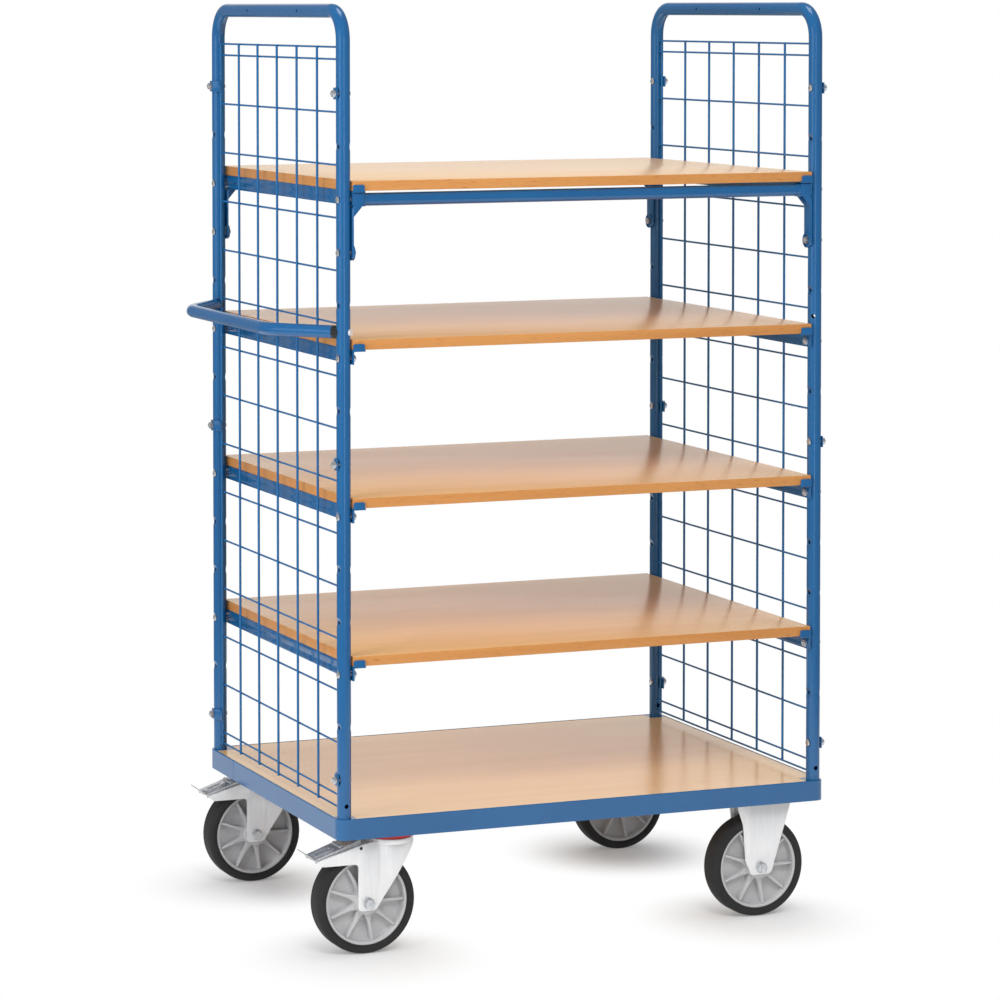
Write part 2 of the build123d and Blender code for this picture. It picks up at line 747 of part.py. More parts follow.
def axle_tube(x, y):
    """Tube round the axle bolt, clamped between the fork plates, which the wheel turns on."""
    with BuildSketch(across_y(y)) as outline:
        with Locations((x, axle_z)):
            Circle(axle_tube_d / 2)
            Circle(axle_d / 2 + seat_gap, mode=Mode.SUBTRACT)
    extrude(outline.sketch, amount=fork_half - seat_gap, both=True)


# Swivel castors: top plate with king pin, seal, fork, ball race, axle and pedal pin
race_top = crown_top + race_height
ball_z = race_top + seat_gap + ball_d / 2
upper_race_bottom = ball_z + ball_d / 2 + axial
pedal_pin = (swivel_x - pedal_pin_x, wheel_d + pedal_pin_z)
axle_x = swivel_x - trail
slope = radians(pedal_slope)
pedal_along = Vector(-cos(slope), 0, -sin(slope))
pedal_up = Vector(-sin(slope), 0, cos(slope))
arm_tip = (
    pedal_pin[0] + (pedal_along * pedal_length + pedal_up * (pedal_top - pedal_sheet)).X,
    pedal_pin[1] + (pedal_along * pedal_length + pedal_up * (pedal_top - pedal_sheet)).Z,
)
arm_low_z = wheel_d - arm_drop

with BuildPart() as swivel_seals:
    with BuildSketch(level(plate_bottom)):
        with Locations(*[(swivel_x, side * castor_y) for _, side in sides]):
            Circle(seal_outer_d / 2)
            Circle(seal_inner_d / 2, mode=Mode.SUBTRACT)
    extrude(amount=-(plate_bottom - crown_top - 2 * axial))
save(swivel_seals, "swivel_seals")

for name, side in sides:
    centre = (swivel_x, side * castor_y)
    with BuildPart() as swivel_plate:
        with BuildSketch(level(plate_bottom)):
            with Locations(centre):
                RectangleRounded(plate_length, plate_width, plate_corner_r)
                with GridLocations(plate_bolt_x, plate_bolt_y, 2, 2):
                    Circle(hole_d / 2, mode=Mode.SUBTRACT)
        extrude(amount=plate_thick)
        with BuildSketch(level(plate_bottom)):
            with Locations(centre):
                Circle(race_outer_d / 2)
                Circle(race_inner_d / 2, mode=Mode.SUBTRACT)
        extrude(amount=upper_race_bottom - plate_bottom)
        rod_row(level(plate_bottom), [centre], king_pin_d, crown_bottom - axial - plate_bottom)
        rod_row(level(crown_bottom - axial), [centre], king_head_d, -king_head_height)
    save(swivel_plate, f"swivel_plate_{name}")

    with BuildPart() as swivel_fork:
        with BuildSketch(level(crown_bottom)):
            with Locations(centre):
                Circle(crown_d / 2)
            with Locations((swivel_x + crown_rear, centre[1])):
                Rectangle(
                    crown_rear + crown_front,
                    2 * (fork_half + fork_thick),
                    align=(Align.MAX, Align.CENTER),
                )
        extrude(amount=crown_thick)
        for face in (-1, 1):
            with BuildSketch(across_y(centre[1] + face * fork_half)) as cheek:
                with BuildLine():
                    Polyline(
                        (axle_x - fork_front, axle_z - axle_drop),
                        (axle_x + fork_rear, axle_z - axle_drop),
                        (swivel_x + crown_rear, crown_bottom - crown_thick),
                        (swivel_x + crown_rear, crown_top),
                        (swivel_x - crown_front - crown_thick, crown_top),
                        arm_tip,
                        (arm_tip[0] + arm_tip_setback, arm_low_z),
                        (axle_x - fork_front, arm_low_z),
                        close=True,
                    )
                make_face()
                fillet(cheek.vertices().group_by(Axis.Y)[0], foot_r)
                fillet(cheek.vertices().sort_by_distance((axle_x - fork_front, arm_low_z, 0))[0], foot_r)
                fillet(cheek.vertices().sort_by_distance((*arm_tip, 0))[:2], arm_tip_r)
            extrude(amount=-face * fork_thick)
        with BuildSketch(level(crown_top)):
            with Locations(centre):
                Circle(race_outer_d / 2)
        extrude(amount=race_height)
        with BuildSketch(level(crown_bottom)):
            with Locations(centre):
                Circle(king_pin_d / 2 + running)
        extrude(amount=crown_thick + race_height, mode=Mode.SUBTRACT)
        with BuildSketch(across_y(centre[1])):
            with Locations((axle_x, axle_z)):
                Circle(axle_d / 2 + seat_gap)
            with Locations(pedal_pin):
                Circle(pedal_pin_d / 2 + seat_gap)
        extrude(amount=fork_gap, both=True, mode=Mode.SUBTRACT)
    save(swivel_fork, f"swivel_fork_{name}")

    with BuildPart() as swivel_balls:
        with Locations((swivel_x, centre[1], ball_z)):
            with PolarLocations(ball_ring_d / 2, ball_count):
                Sphere(ball_d / 2)
    save(swivel_balls, f"swivel_balls_{name}")

    with BuildPart() as swivel_axle_bolt:
        axle_bolt(axle_x, centre[1])
    save(swivel_axle_bolt, f"swivel_axle_bolt_{name}")

    with BuildPart() as swivel_axle_tube:
        axle_tube(axle_x, centre[1])
    save(swivel_axle_tube, f"swivel_axle_tube_{name}")

    with BuildPart() as pin:
        with BuildSketch(across_y(centre[1])):
            with Locations(pedal_pin):
                Circle(pedal_pin_d / 2)
        extrude(amount=fork_half + fork_thick, both=True)
    save(pin, f"pedal_pin_{name}")

    # Brake pedal: a channel with a slot, a step and a thin release tongue
    pin_place = Vector(pedal_pin[0], centre[1], pedal_pin[1])
    sheet = Plane(pin_place, x_dir=pedal_along, z_dir=pedal_up)
    cheek_plane = Plane(pin_place, x_dir=pedal_along, z_dir=(0, 1, 0))
    with BuildPart() as brake_pedal:
        with BuildSketch(sheet.offset(pedal_top)):
            with Locations((-pedal_heel, 0)):
                Rectangle(pedal_length + pedal_heel, pedal_width, align=(Align.MIN, Align.CENTER))
        extrude(amount=-pedal_sheet)
        for face in (-1, 1):
            with BuildSketch(cheek_plane.offset(face * pedal_width / 2)):
                with BuildLine():
                    Polyline(
                        (-pedal_heel, -pedal_skirt),
                        (-pedal_heel, pedal_top),
                        (pedal_length, pedal_top),
                        (pedal_length, pedal_top - pedal_tip_depth),
                        (pedal_length / 4, -pedal_skirt),
                        close=True,
                    )
                make_face()
            extrude(amount=-face * pedal_sheet)
            rod_row(
                cheek_plane.offset(face * (pedal_width / 2 - pedal_sheet)),
                [(0, 0)],
                2 * pedal_heel,
                face * (fork_half - axial - pedal_width / 2 + pedal_sheet),
            )
        with BuildSketch(sheet.offset(pedal_top)):
            with Locations((slot_place, 0)):
                RectangleRounded(frame_length, frame_width, slot_width / 2)
        extrude(amount=frame_height)
        with BuildSketch(sheet.offset(pedal_top + frame_height)):
            with Locations((slot_place, 0)):
                SlotOverall(slot_length, slot_width)
        extrude(amount=-frame_height - pedal_sheet, mode=Mode.SUBTRACT)
        rod_row(
            cheek_plane.offset(-roll_length / 2),
            [(roll_place, pedal_top - pedal_sheet / 2)],
            roll_d,
            roll_length,
        )
        lip_turn = radians(lip_angle)
        lip_foot = (pedal_length - pedal_sheet, pedal_top - pedal_sheet)
        lip_tip = (lip_foot[0] + lip_length * cos(lip_turn), lip_foot[1] + lip_length * sin(lip_turn))
        with BuildSketch(cheek_plane):
            with BuildLine():
                Line(lip_foot, lip_tip)
            trace(line_width=lip_thick)
        extrude(amount=pedal_width / 2 - lip_margin, both=True)
        with BuildSketch(cheek_plane):
            Circle(pedal_pin_d / 2 + running)
        extrude(amount=fork_gap, both=True, mode=Mode.SUBTRACT)
    save(brake_pedal, f"brake_pedal_{name}")

# Fixed castors: fork with its plate, axle bolts and axle tubes
wing_low_z = axle_z + axle_drop
for name, side in sides:
    centre = (fixed_x, side * castor_y)
    with BuildPart() as fixed_fork:
        with BuildSketch(level(plate_bottom)):
            with Locations(centre):
                RectangleRounded(plate_length, plate_width, plate_corner_r)
                with GridLocations(plate_bolt_x, plate_bolt_y, 2, 2):
                    Circle(hole_d / 2, mode=Mode.SUBTRACT)
        extrude(amount=plate_thick)
        for face in (-1, 1):
            with BuildSketch(across_y(centre[1] + face * fork_half)) as cheek:
                with BuildLine():
                    Polyline(
                        (fixed_axle_x - fixed_front, axle_z - axle_drop),
                        (fixed_axle_x + fixed_rear, axle_z - axle_drop),
                        (fixed_axle_x + fixed_rear_top, plate_bottom - crown_thick),
                        (fixed_axle_x + fixed_rear_top, plate_bottom + seat_gap),
                        (fixed_axle_x - fixed_front, plate_bottom + seat_gap),
                        close=True,
                    )
                make_face()
                fillet(cheek.vertices().group_by(Axis.Y)[0], foot_r)
            extrude(amount=-face * fork_thick)
            bend = (fixed_axle_x - fixed_front, centre[1] + face * (fork_half + fork_thick), 0)
            wing = Plane(bend, x_dir=(-1, -face, 0), z_dir=(-face, 1, 0))
            with BuildSketch(wing):
                with BuildLine():
                    Polyline(
                        (-wing_thick, wing_low_z),
                        (-wing_thick, plate_bottom + seat_gap),
                        (wing_top, plate_bottom + seat_gap),
                        (wing_top, wheel_d + axle_drop),
                        (wing_middle, wheel_d - axle_drop),
                        (wing_foot, wing_low_z),
                        close=True,
                    )
                make_face()
            extrude(amount=-face * wing_thick)
        with BuildSketch(across_y(centre[1])):
            with Locations((fixed_axle_x, axle_z)):
                Circle(axle_d / 2 + seat_gap)
        extrude(amount=fork_gap, both=True, mode=Mode.SUBTRACT)
    save(fixed_fork, f"fixed_fork_{name}")

with BuildPart() as fixed_axle_bolts:
    for _, side in sides:
        axle_bolt(fixed_axle_x, side * castor_y)
save(fixed_axle_bolts, "fixed_axle_bolts")

with BuildPart() as fixed_axle_tubes:
    for _, side in sides:
        axle_tube(fixed_axle_x, side * castor_y)
save(fixed_axle_tubes, "fixed_axle_tubes")
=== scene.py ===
# %% [markdown]
# # A shelved mesh trolley
#
# This lesson dresses a finished CAD model for its portrait. The CAD gives every size and every
# moving body; Blender adds rounded edges, real fasteners, wheels, paint, board and light. The frame
# comes first.

# %% Load the frame
import json
import math

import bmesh
import bpy
from mathutils import Matrix, Vector


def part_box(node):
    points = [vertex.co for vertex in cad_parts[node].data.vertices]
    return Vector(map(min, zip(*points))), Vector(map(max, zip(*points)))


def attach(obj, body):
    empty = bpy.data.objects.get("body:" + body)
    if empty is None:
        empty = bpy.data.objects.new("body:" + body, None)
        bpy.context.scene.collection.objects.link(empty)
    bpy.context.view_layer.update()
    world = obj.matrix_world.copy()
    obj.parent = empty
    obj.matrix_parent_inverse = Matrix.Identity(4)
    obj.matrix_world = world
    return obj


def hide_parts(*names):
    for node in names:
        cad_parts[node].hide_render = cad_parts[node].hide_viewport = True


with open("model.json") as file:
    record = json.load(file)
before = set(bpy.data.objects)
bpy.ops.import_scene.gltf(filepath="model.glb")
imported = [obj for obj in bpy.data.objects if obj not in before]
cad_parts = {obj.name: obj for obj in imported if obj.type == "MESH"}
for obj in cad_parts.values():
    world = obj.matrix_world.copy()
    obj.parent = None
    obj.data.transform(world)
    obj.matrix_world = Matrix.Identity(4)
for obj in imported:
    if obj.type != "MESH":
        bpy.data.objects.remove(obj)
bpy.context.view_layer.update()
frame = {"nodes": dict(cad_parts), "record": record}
nodes = frame["nodes"]

scene = bpy.context.scene
WHEELS = {  # each wheel, and the body that carries it
    "swivel_front": "swivel_wheel_front",
    "swivel_back": "swivel_wheel_back",
    "fixed_front": "fixed_wheel_front",
    "fixed_back": "fixed_wheel_back",
}


def middle_of(node):
    """The middle of a CAD node's box."""
    low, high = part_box(node)
    return (low + high) / 2


def foot_of(node):
    """The point of the floor under the middle of a CAD node."""
    middle = middle_of(node)
    return Vector((middle.x, middle.y, 0.0))


# %% [markdown]
# ## The camera
#
# The photograph was taken from the front left, at the height of the top of the trolley, with a long lens.
# Posts, boards, wires, rim and wheels in it were enough to solve the camera: where it stands, how it turns
# and its focal length in pixels of a square picture. Its posts run almost parallel, as they do when the
# lens is shifted and the camera stays level, so the point that the lens axis meets is far off the middle.
#
# A camera in Blender looks along its own -Z, so its axes are written out as the columns of a matrix. The
# shift is a slant of that matrix: -Z runs through the picture's middle, while the picture stays square to
# the lens axis. The stand that carries the camera holds the slant, and a camera taken off it for another
# view has a plain lens.

# %% Camera
PICTURE_SIDE = 1000.0
FOCAL_PIXELS = 3682.8
AXIS_COLUMN, AXIS_ROW = 238.6, 164.8  # the picture's point that the lens axis meets
EYE = Vector((-2.9847, -6.7921, 1.8123))
YAW, PITCH, ROLL = (math.radians(angle) for angle in (19.828, 2.506, 0.167))

forward = Vector((math.sin(YAW) * math.cos(PITCH), math.cos(YAW) * math.cos(PITCH), -math.sin(PITCH)))
level_right = Vector((math.cos(YAW), -math.sin(YAW), 0.0))
level_down = forward.cross(level_right)
right = math.cos(ROLL) * level_right + math.sin(ROLL) * level_down
up = right.cross(forward)
across = (PICTURE_SIDE / 2 - AXIS_COLUMN) / FOCAL_PIXELS
down = (PICTURE_SIDE / 2 - AXIS_ROW) / FOCAL_PIXELS
middle_ray = forward + across * right - down * up
slanted = Matrix((right, up, -middle_ray.normalized())).transposed()

lens = bpy.data.cameras.new("portrait_lens")
lens.sensor_width = 36.0
lens.lens = FOCAL_PIXELS * middle_ray.length / PICTURE_SIDE * lens.sensor_width
lens.clip_end = 100.0
stand = bpy.data.objects.new("camera_stand", None)
camera = bpy.data.objects.new("portrait_camera", lens)
camera.parent = stand
camera.matrix_parent_inverse = Matrix.Translation(EYE) @ slanted.to_4x4()
scene.collection.objects.link(stand)
scene.collection.objects.link(camera)
scene.camera = camera
print("lens", round(lens.lens, 1), "mm, shifted by", round(across, 3), round(down, 3), "of its length")

# %% [markdown]
# ## Floor, sky and lamps
#
# The trolley stands in an evenly lit white studio. The world is white to the camera, and dimmer as a
# source of light, so that lamps can shape the object. In reflections it is white where the backdrop
# hangs and where a white screen stands on the left, and dim elsewhere, like a room with two white walls,
# so that tubes get dark sides.
#
# The floor mixes a white glow, which lights nothing, with plain matt white. To the camera the glow gives
# way close to each wheel, so that the soft shadow there stays; in reflections it gives way under the whole
# trolley and far from it. Wide lamps on the left, high in front and overhead light the object, and a
# narrow strip in front draws a thin line of light down the middle of each tube.

# %% Small helpers for node trees
def put(tree, kind, inputs=None, **settings):
    """Add a node, set its options by name and its sockets from a dictionary."""
    node = tree.nodes.new(kind)
    for key, value in settings.items():
        setattr(node, key, value)
    for key, value in (inputs or {}).items():
        node.inputs[key].default_value = value
    return node


def join(tree, source, target):
    """Link one socket to another."""
    tree.links.new(source, target)


def join_all(tree, pairs):
    """Link many pairs of sockets."""
    for source, target in pairs:
        join(tree, source, target)


def smooth_rise(tree, value, start, end, least=0.0):
    """A socket that rises smoothly to 1 while a value goes from start to end."""
    rise = put(
        tree,
        "ShaderNodeMapRange",
        {"From Min": start, "From Max": end, "To Min": least, "To Max": 1.0},
        interpolation_type="SMOOTHSTEP",
    )
    join(tree, value, rise.inputs["Value"])
    return rise.outputs["Result"]


def srgb(red, green, blue):
    """A colour as seen on a screen, from 0 to 255, in Blender's linear values."""
    parts = [channel / 255.0 for channel in (red, green, blue)]
    return (*[c / 12.92 if c <= 0.04045 else ((c + 0.055) / 1.055) ** 2.4 for c in parts], 1.0)


# %% World and floor
WHITE = (1.0, 1.0, 1.0, 1.0)
FLOOR_RADIUS, FLOOR_SIDES = 14.0, 96
FLOOR_GREY = (0.9, 0.9, 0.9, 1.0)
SKY_LIGHT, ROOM_DIM = 0.48, 0.3  # the world as a light, and the dim part of the room in reflections
WHEEL_NEAR, WHEEL_FAR, WHEEL_GLOW = 0.03, 0.26, 0.18  # metres from a wheel's foot, share of the glow there
UNDER_NEAR, UNDER_FAR, UNDER_GLOW = 0.45, 1.25, 0.25  # the same round the trolley's middle
PAPER_NEAR, PAPER_FAR = 2.1, 2.9  # metres from there at which the white floor ends in reflections
SHADOW_SHIFT = Vector((-0.015, -0.04, 0.0))  # from a wheel's foot to the middle of its shadow
WHITE_WALLS = [  # the way from the trolley to a wall, and the angles where it ends and where it is full
    (Vector((0.407, 0.914, 0.0)), 32.0, 18.0),
    (Vector((-0.968, -0.25, 0.0)), 26.0, 13.0),
]

scene.view_settings.view_transform = "Standard"


def seen_rays(tree):
    """A socket that is 1 for rays of the camera, of reflections and of glass."""
    path = put(tree, "ShaderNodeLightPath")
    either = put(tree, "ShaderNodeMath", operation="MAXIMUM")
    any_of = put(tree, "ShaderNodeMath", operation="MAXIMUM")
    join(tree, path.outputs["Is Camera Ray"], either.inputs[0])
    join(tree, path.outputs["Is Glossy Ray"], either.inputs[1])
    join(tree, either.outputs[0], any_of.inputs[0])
    join(tree, path.outputs["Is Transmission Ray"], any_of.inputs[1])
    return any_of.outputs[0]


world = bpy.data.worlds.new("white_studio")
scene.world = world
world.use_nodes = True
sky = world.node_tree
sky.nodes.clear()
look = put(sky, "ShaderNodeTexCoord")
sky_ray = put(sky, "ShaderNodeLightPath")
walls = put(sky, "ShaderNodeMath", operation="MAXIMUM")
for index, (way, *angles) in enumerate(WHITE_WALLS):
    facing = put(sky, "ShaderNodeVectorMath", {1: way}, operation="DOT_PRODUCT")
    join(sky, look.outputs["Generated"], facing.inputs[0])
    cosines = [math.cos(math.radians(angle)) for angle in angles]
    wall = smooth_rise(sky, facing.outputs["Value"], *cosines)
    join(sky, wall, walls.inputs[index])
in_mirror = put(sky, "ShaderNodeMapRange", {"To Min": ROOM_DIM, "To Max": 1.0})
unless_seen = put(sky, "ShaderNodeMix", {"A": SKY_LIGHT}, data_type="FLOAT")
sky_level = put(sky, "ShaderNodeMath", operation="MAXIMUM")
sky_white = put(sky, "ShaderNodeBackground", {"Color": WHITE})
sky_out = put(sky, "ShaderNodeOutputWorld")
join_all(
    sky,
    [
        (walls.outputs[0], in_mirror.inputs["Value"]),
        (seen_rays(sky), unless_seen.inputs["Factor"]),
        (in_mirror.outputs["Result"], unless_seen.inputs["B"]),
        (unless_seen.outputs["Result"], sky_level.inputs[0]),
        (sky_ray.outputs["Is Camera Ray"], sky_level.inputs[1]),
        (sky_level.outputs[0], sky_white.inputs["Strength"]),
        (sky_white.outputs[0], sky_out.inputs["Surface"]),
    ],
)

floor_look = bpy.data.materials.new("studio_floor")
floor_look.use_nodes = True
tree = floor_look.node_tree
tree.nodes.clear()
matt = put(tree, "ShaderNodeBsdfDiffuse", {"Color": FLOOR_GREY})
glow = put(tree, "ShaderNodeEmission", {"Color": WHITE, "Strength": 1.0})
where = put(tree, "ShaderNodeTexCoord")


def distance_from(spot):
    """A socket with the distance on the floor from a spot."""
    gap = put(tree, "ShaderNodeVectorMath", {1: spot}, operation="DISTANCE")
    join(tree, where.outputs["Object"], gap.inputs[0])
    return gap.outputs["Value"]


shares = []
for wheel in WHEELS:
    distance = distance_from(foot_of(f"tyre_{wheel}") + SHADOW_SHIFT)
    shares.append(smooth_rise(tree, distance, WHEEL_NEAR, WHEEL_FAR, WHEEL_GLOW))
at_wheels = shares[0]
for share in shares[1:]:
    both = put(tree, "ShaderNodeMath", operation="MULTIPLY")
    join(tree, at_wheels, both.inputs[0])
    join(tree, share, both.inputs[1])
    at_wheels = both.outputs[0]
middle_gap = distance_from(foot_of("base_frame"))
under = smooth_rise(tree, middle_gap, UNDER_NEAR, UNDER_FAR, UNDER_GLOW)
bare = smooth_rise(tree, middle_gap, PAPER_NEAR, PAPER_FAR)

ray = put(tree, "ShaderNodeLightPath")
either = put(tree, "ShaderNodeMix", data_type="FLOAT")
amount = put(tree, "ShaderNodeMath", operation="MULTIPLY")
far_off = put(tree, "ShaderNodeMath", operation="MULTIPLY")
blend = put(tree, "ShaderNodeMixShader")
dim = put(tree, "ShaderNodeEmission", {"Color": WHITE, "Strength": ROOM_DIM})
faded = put(tree, "ShaderNodeMixShader")
surface = put(tree, "ShaderNodeOutputMaterial")
join_all(
    tree,
    [
        (ray.outputs["Is Camera Ray"], either.inputs["Factor"]),
        (under, either.inputs["A"]),
        (at_wheels, either.inputs["B"]),
        (either.outputs["Result"], amount.inputs[0]),
        (seen_rays(tree), amount.inputs[1]),
        (amount.outputs[0], blend.inputs["Fac"]),
        (matt.outputs[0], blend.inputs[1]),
        (glow.outputs[0], blend.inputs[2]),
        (ray.outputs["Is Glossy Ray"], far_off.inputs[0]),
        (bare, far_off.inputs[1]),
        (far_off.outputs[0], faded.inputs["Fac"]),
        (blend.outputs[0], faded.inputs[1]),
        (dim.outputs[0], faded.inputs[2]),
        (faded.outputs[0], surface.inputs["Surface"]),
    ],
)

bm = bmesh.new()
bmesh.ops.create_circle(bm, cap_ends=True, segments=FLOOR_SIDES, radius=FLOOR_RADIUS)
floor_mesh = bpy.data.meshes.new("studio_floor")
bm.to_mesh(floor_mesh)
bm.free()
floor = bpy.data.objects.new("studio_floor", floor_mesh)
floor_mesh.materials.append(floor_look)
scene.collection.objects.link(floor)


# %% Lamps
def lamp(name, place, aim, sides, power, mirrored):
    """A soft lamp, wide by tall, that looks from one point at another and may show in reflections."""
    data = bpy.data.lights.new(name, "AREA")
    data.shape = "RECTANGLE"
    data.size, data.size_y = sides
    data.energy = power
    holder = bpy.data.objects.new(name, data)
    direction = Vector(aim) - Vector(place)
    turned = direction.to_track_quat("-Z", "Y").to_matrix().to_4x4()
    holder.matrix_world = Matrix.Translation(Vector(place)) @ turned
    holder.visible_camera = False
    holder.visible_glossy = mirrored
    scene.collection.objects.link(holder)


AIM = (0.0, 0.0, 0.8)  # the trolley's middle
FRONT_POST = (-0.5, -0.3, 1.2)  # halfway up the nearest post
lamp("key_lamp", (-5.0, -1.8, 2.1), AIM, (2.8, 2.8), 132.0, False)
lamp("front_lamp", (-1.0, -4.7, 5.0), AIM, (2.0, 2.0), 150.0, False)
lamp("top_lamp", (0.2, 0.3, 6.0), AIM, (2.4, 2.4), 60.0, True)
lamp("strip_lamp", (-0.8, -4.3, 1.2), FRONT_POST, (0.28, 3.2), 12.0, True)

# %% [markdown]
# ## Shared surface effects
#
# Three effects turn up in more than one finish: the slight unevenness of sprayed or moulded
# surfaces, the streaks and flecks of beech, and the clouds and brushed lines of zinc plate. Each is a node
# group with named inputs, built once. A group puts out only colours and values; the shader itself stays in
# each material.


# %% Node group helper
NUMBER, COLOUR = "NodeSocketFloat", "NodeSocketColor"


def new_group(name, colours, numbers):
    """An empty group with some inputs, the two limits of gloss and an effect's outputs, and its end nodes."""
    group = bpy.data.node_groups.new(name, "ShaderNodeTree")
    sockets = [("INPUT", COLOUR, label) for label in colours]
    sockets += [("INPUT", NUMBER, label) for label in (*numbers, "Gloss Low", "Gloss High")]
    sockets += [("OUTPUT", COLOUR, "Colour"), ("OUTPUT", NUMBER, "Roughness"), ("OUTPUT", NUMBER, "Height")]
    for way, kind, label in sockets:
        group.interface.new_socket(label, in_out=way, socket_type=kind)
    return group, group.nodes.new("NodeGroupInput"), group.nodes.new("NodeGroupOutput")


# %% Uneven coat
coat_group, given, made = new_group("Uneven Coat", ["Colour", "Shade"], ["Patch Scale", "Grain Scale"])
where = put(coat_group, "ShaderNodeTexCoord")
patches = put(coat_group, "ShaderNodeTexNoise", {"Detail": 4.0, "Roughness": 0.6})
grain = put(coat_group, "ShaderNodeTexNoise", {"Detail": 2.0, "Roughness": 0.5})
patch_range = put(coat_group, "ShaderNodeMapRange", {"From Min": 0.35, "From Max": 0.65})
tint = put(coat_group, "ShaderNodeMix", data_type="RGBA")
gloss = put(coat_group, "ShaderNodeMapRange", {"From Min": 0.3, "From Max": 0.7})
for texture, scale in ((patches, "Patch Scale"), (grain, "Grain Scale")):
    join(coat_group, where.outputs["Object"], texture.inputs["Vector"])
    join(coat_group, given.outputs[scale], texture.inputs["Scale"])
join_all(
    coat_group,
    [
        (patches.outputs["Fac"], patch_range.inputs["Value"]),
        (patch_range.outputs["Result"], tint.inputs["Factor"]),
        (given.outputs["Colour"], tint.inputs["A"]),
        (given.outputs["Shade"], tint.inputs["B"]),
        (grain.outputs["Fac"], gloss.inputs["Value"]),
        (given.outputs["Gloss Low"], gloss.inputs["To Min"]),
        (given.outputs["Gloss High"], gloss.inputs["To Max"]),
        (tint.outputs["Result"], made.inputs["Colour"]),
        (gloss.outputs["Result"], made.inputs["Roughness"]),
        (grain.outputs["Fac"], made.inputs["Height"]),
    ],
)

# %% Beech figure
beech_group, given, made = new_group("Beech Figure", ["Pale", "Deep", "Fleck"], ["Fleck Share"])
where = put(beech_group, "ShaderNodeTexCoord")
along = put(beech_group, "ShaderNodeMapping", {"Scale": (1.1, 13.0, 13.0)})
fine_along = put(beech_group, "ShaderNodeMapping", {"Scale": (55.0, 620.0, 620.0)})
streaks = put(beech_group, "ShaderNodeTexNoise", {"Scale": 2.2, "Detail": 6.0, "Distortion": 0.25})
flecks = put(beech_group, "ShaderNodeTexNoise", {"Scale": 1.0, "Detail": 2.0})
streak_range = put(beech_group, "ShaderNodeMapRange", {"From Min": 0.25, "From Max": 0.75})
fleck_range = put(beech_group, "ShaderNodeMapRange", {"From Min": 0.6, "From Max": 0.74})
fleck_share = put(beech_group, "ShaderNodeMath", operation="MULTIPLY")
figure = put(beech_group, "ShaderNodeMix", data_type="RGBA")
flecked = put(beech_group, "ShaderNodeMix", data_type="RGBA")
gloss = put(beech_group, "ShaderNodeMapRange", {"From Min": 0.3, "From Max": 0.7})
for mapping, texture in ((along, streaks), (fine_along, flecks)):
    join(beech_group, where.outputs["Object"], mapping.inputs["Vector"])
    join(beech_group, mapping.outputs["Vector"], texture.inputs["Vector"])
join_all(
    beech_group,
    [
        (streaks.outputs["Fac"], streak_range.inputs["Value"]),
        (flecks.outputs["Fac"], fleck_range.inputs["Value"]),
        (fleck_range.outputs["Result"], fleck_share.inputs[0]),
        (given.outputs["Fleck Share"], fleck_share.inputs[1]),
        (streak_range.outputs["Result"], figure.inputs["Factor"]),
        (given.outputs["Pale"], figure.inputs["A"]),
        (given.outputs["Deep"], figure.inputs["B"]),
        (fleck_share.outputs[0], flecked.inputs["Factor"]),
        (figure.outputs["Result"], flecked.inputs["A"]),
        (given.outputs["Fleck"], flecked.inputs["B"]),
        (streaks.outputs["Fac"], gloss.inputs["Value"]),
        (given.outputs["Gloss Low"], gloss.inputs["To Min"]),
        (given.outputs["Gloss High"], gloss.inputs["To Max"]),
        (flecked.outputs["Result"], made.inputs["Colour"]),
        (gloss.outputs["Result"], made.inputs["Roughness"]),
        (flecks.outputs["Fac"], made.inputs["Height"]),
    ],
)

# %% Zinc bloom
zinc_group, given, made = new_group("Zinc Bloom", ["Bright", "Dull"], ["Cloud Scale"])
where = put(zinc_group, "ShaderNodeTexCoord")
clouds = put(zinc_group, "ShaderNodeTexNoise", {"Detail": 5.0, "Roughness": 0.62})
upright = put(zinc_group, "ShaderNodeMapping", {"Scale": (420.0, 420.0, 16.0)})
lines = put(zinc_group, "ShaderNodeTexNoise", {"Scale": 1.0, "Detail": 3.0})
both = put(zinc_group, "ShaderNodeMix", {"Factor": 0.45}, data_type="FLOAT")
cloud_range = put(zinc_group, "ShaderNodeMapRange", {"From Min": 0.36, "From Max": 0.64})
bloom = put(zinc_group, "ShaderNodeMix", data_type="RGBA")
gloss = put(zinc_group, "ShaderNodeMapRange")
join_all(
    zinc_group,
    [
        (where.outputs["Object"], clouds.inputs["Vector"]),
        (given.outputs["Cloud Scale"], clouds.inputs["Scale"]),
        (where.outputs["Object"], upright.inputs["Vector"]),
        (upright.outputs["Vector"], lines.inputs["Vector"]),
        (clouds.outputs["Fac"], both.inputs["A"]),
        (lines.outputs["Fac"], both.inputs["B"]),
        (both.outputs["Result"], cloud_range.inputs["Value"]),
        (cloud_range.outputs["Result"], bloom.inputs["Factor"]),
        (cloud_range.outputs["Result"], gloss.inputs["Value"]),
        (given.outputs["Bright"], bloom.inputs["A"]),
        (given.outputs["Dull"], bloom.inputs["B"]),
        (given.outputs["Gloss Low"], gloss.inputs["To Min"]),
        (given.outputs["Gloss High"], gloss.inputs["To Max"]),
        (bloom.outputs["Result"], made.inputs["Colour"]),
        (gloss.outputs["Result"], made.inputs["Roughness"]),
        (lines.outputs["Fac"], made.inputs["Height"]),
    ],
)
print("groups", [group.name for group in bpy.data.node_groups])

# %% [markdown]
# ## Finishes
#
# Every finish is one Principled shader fed by one of the groups. What is the same all over a surface,
# such as how metallic it is, is set on the shader's own socket; what changes over the surface comes
# from the group, and the group's height makes a fine bump.


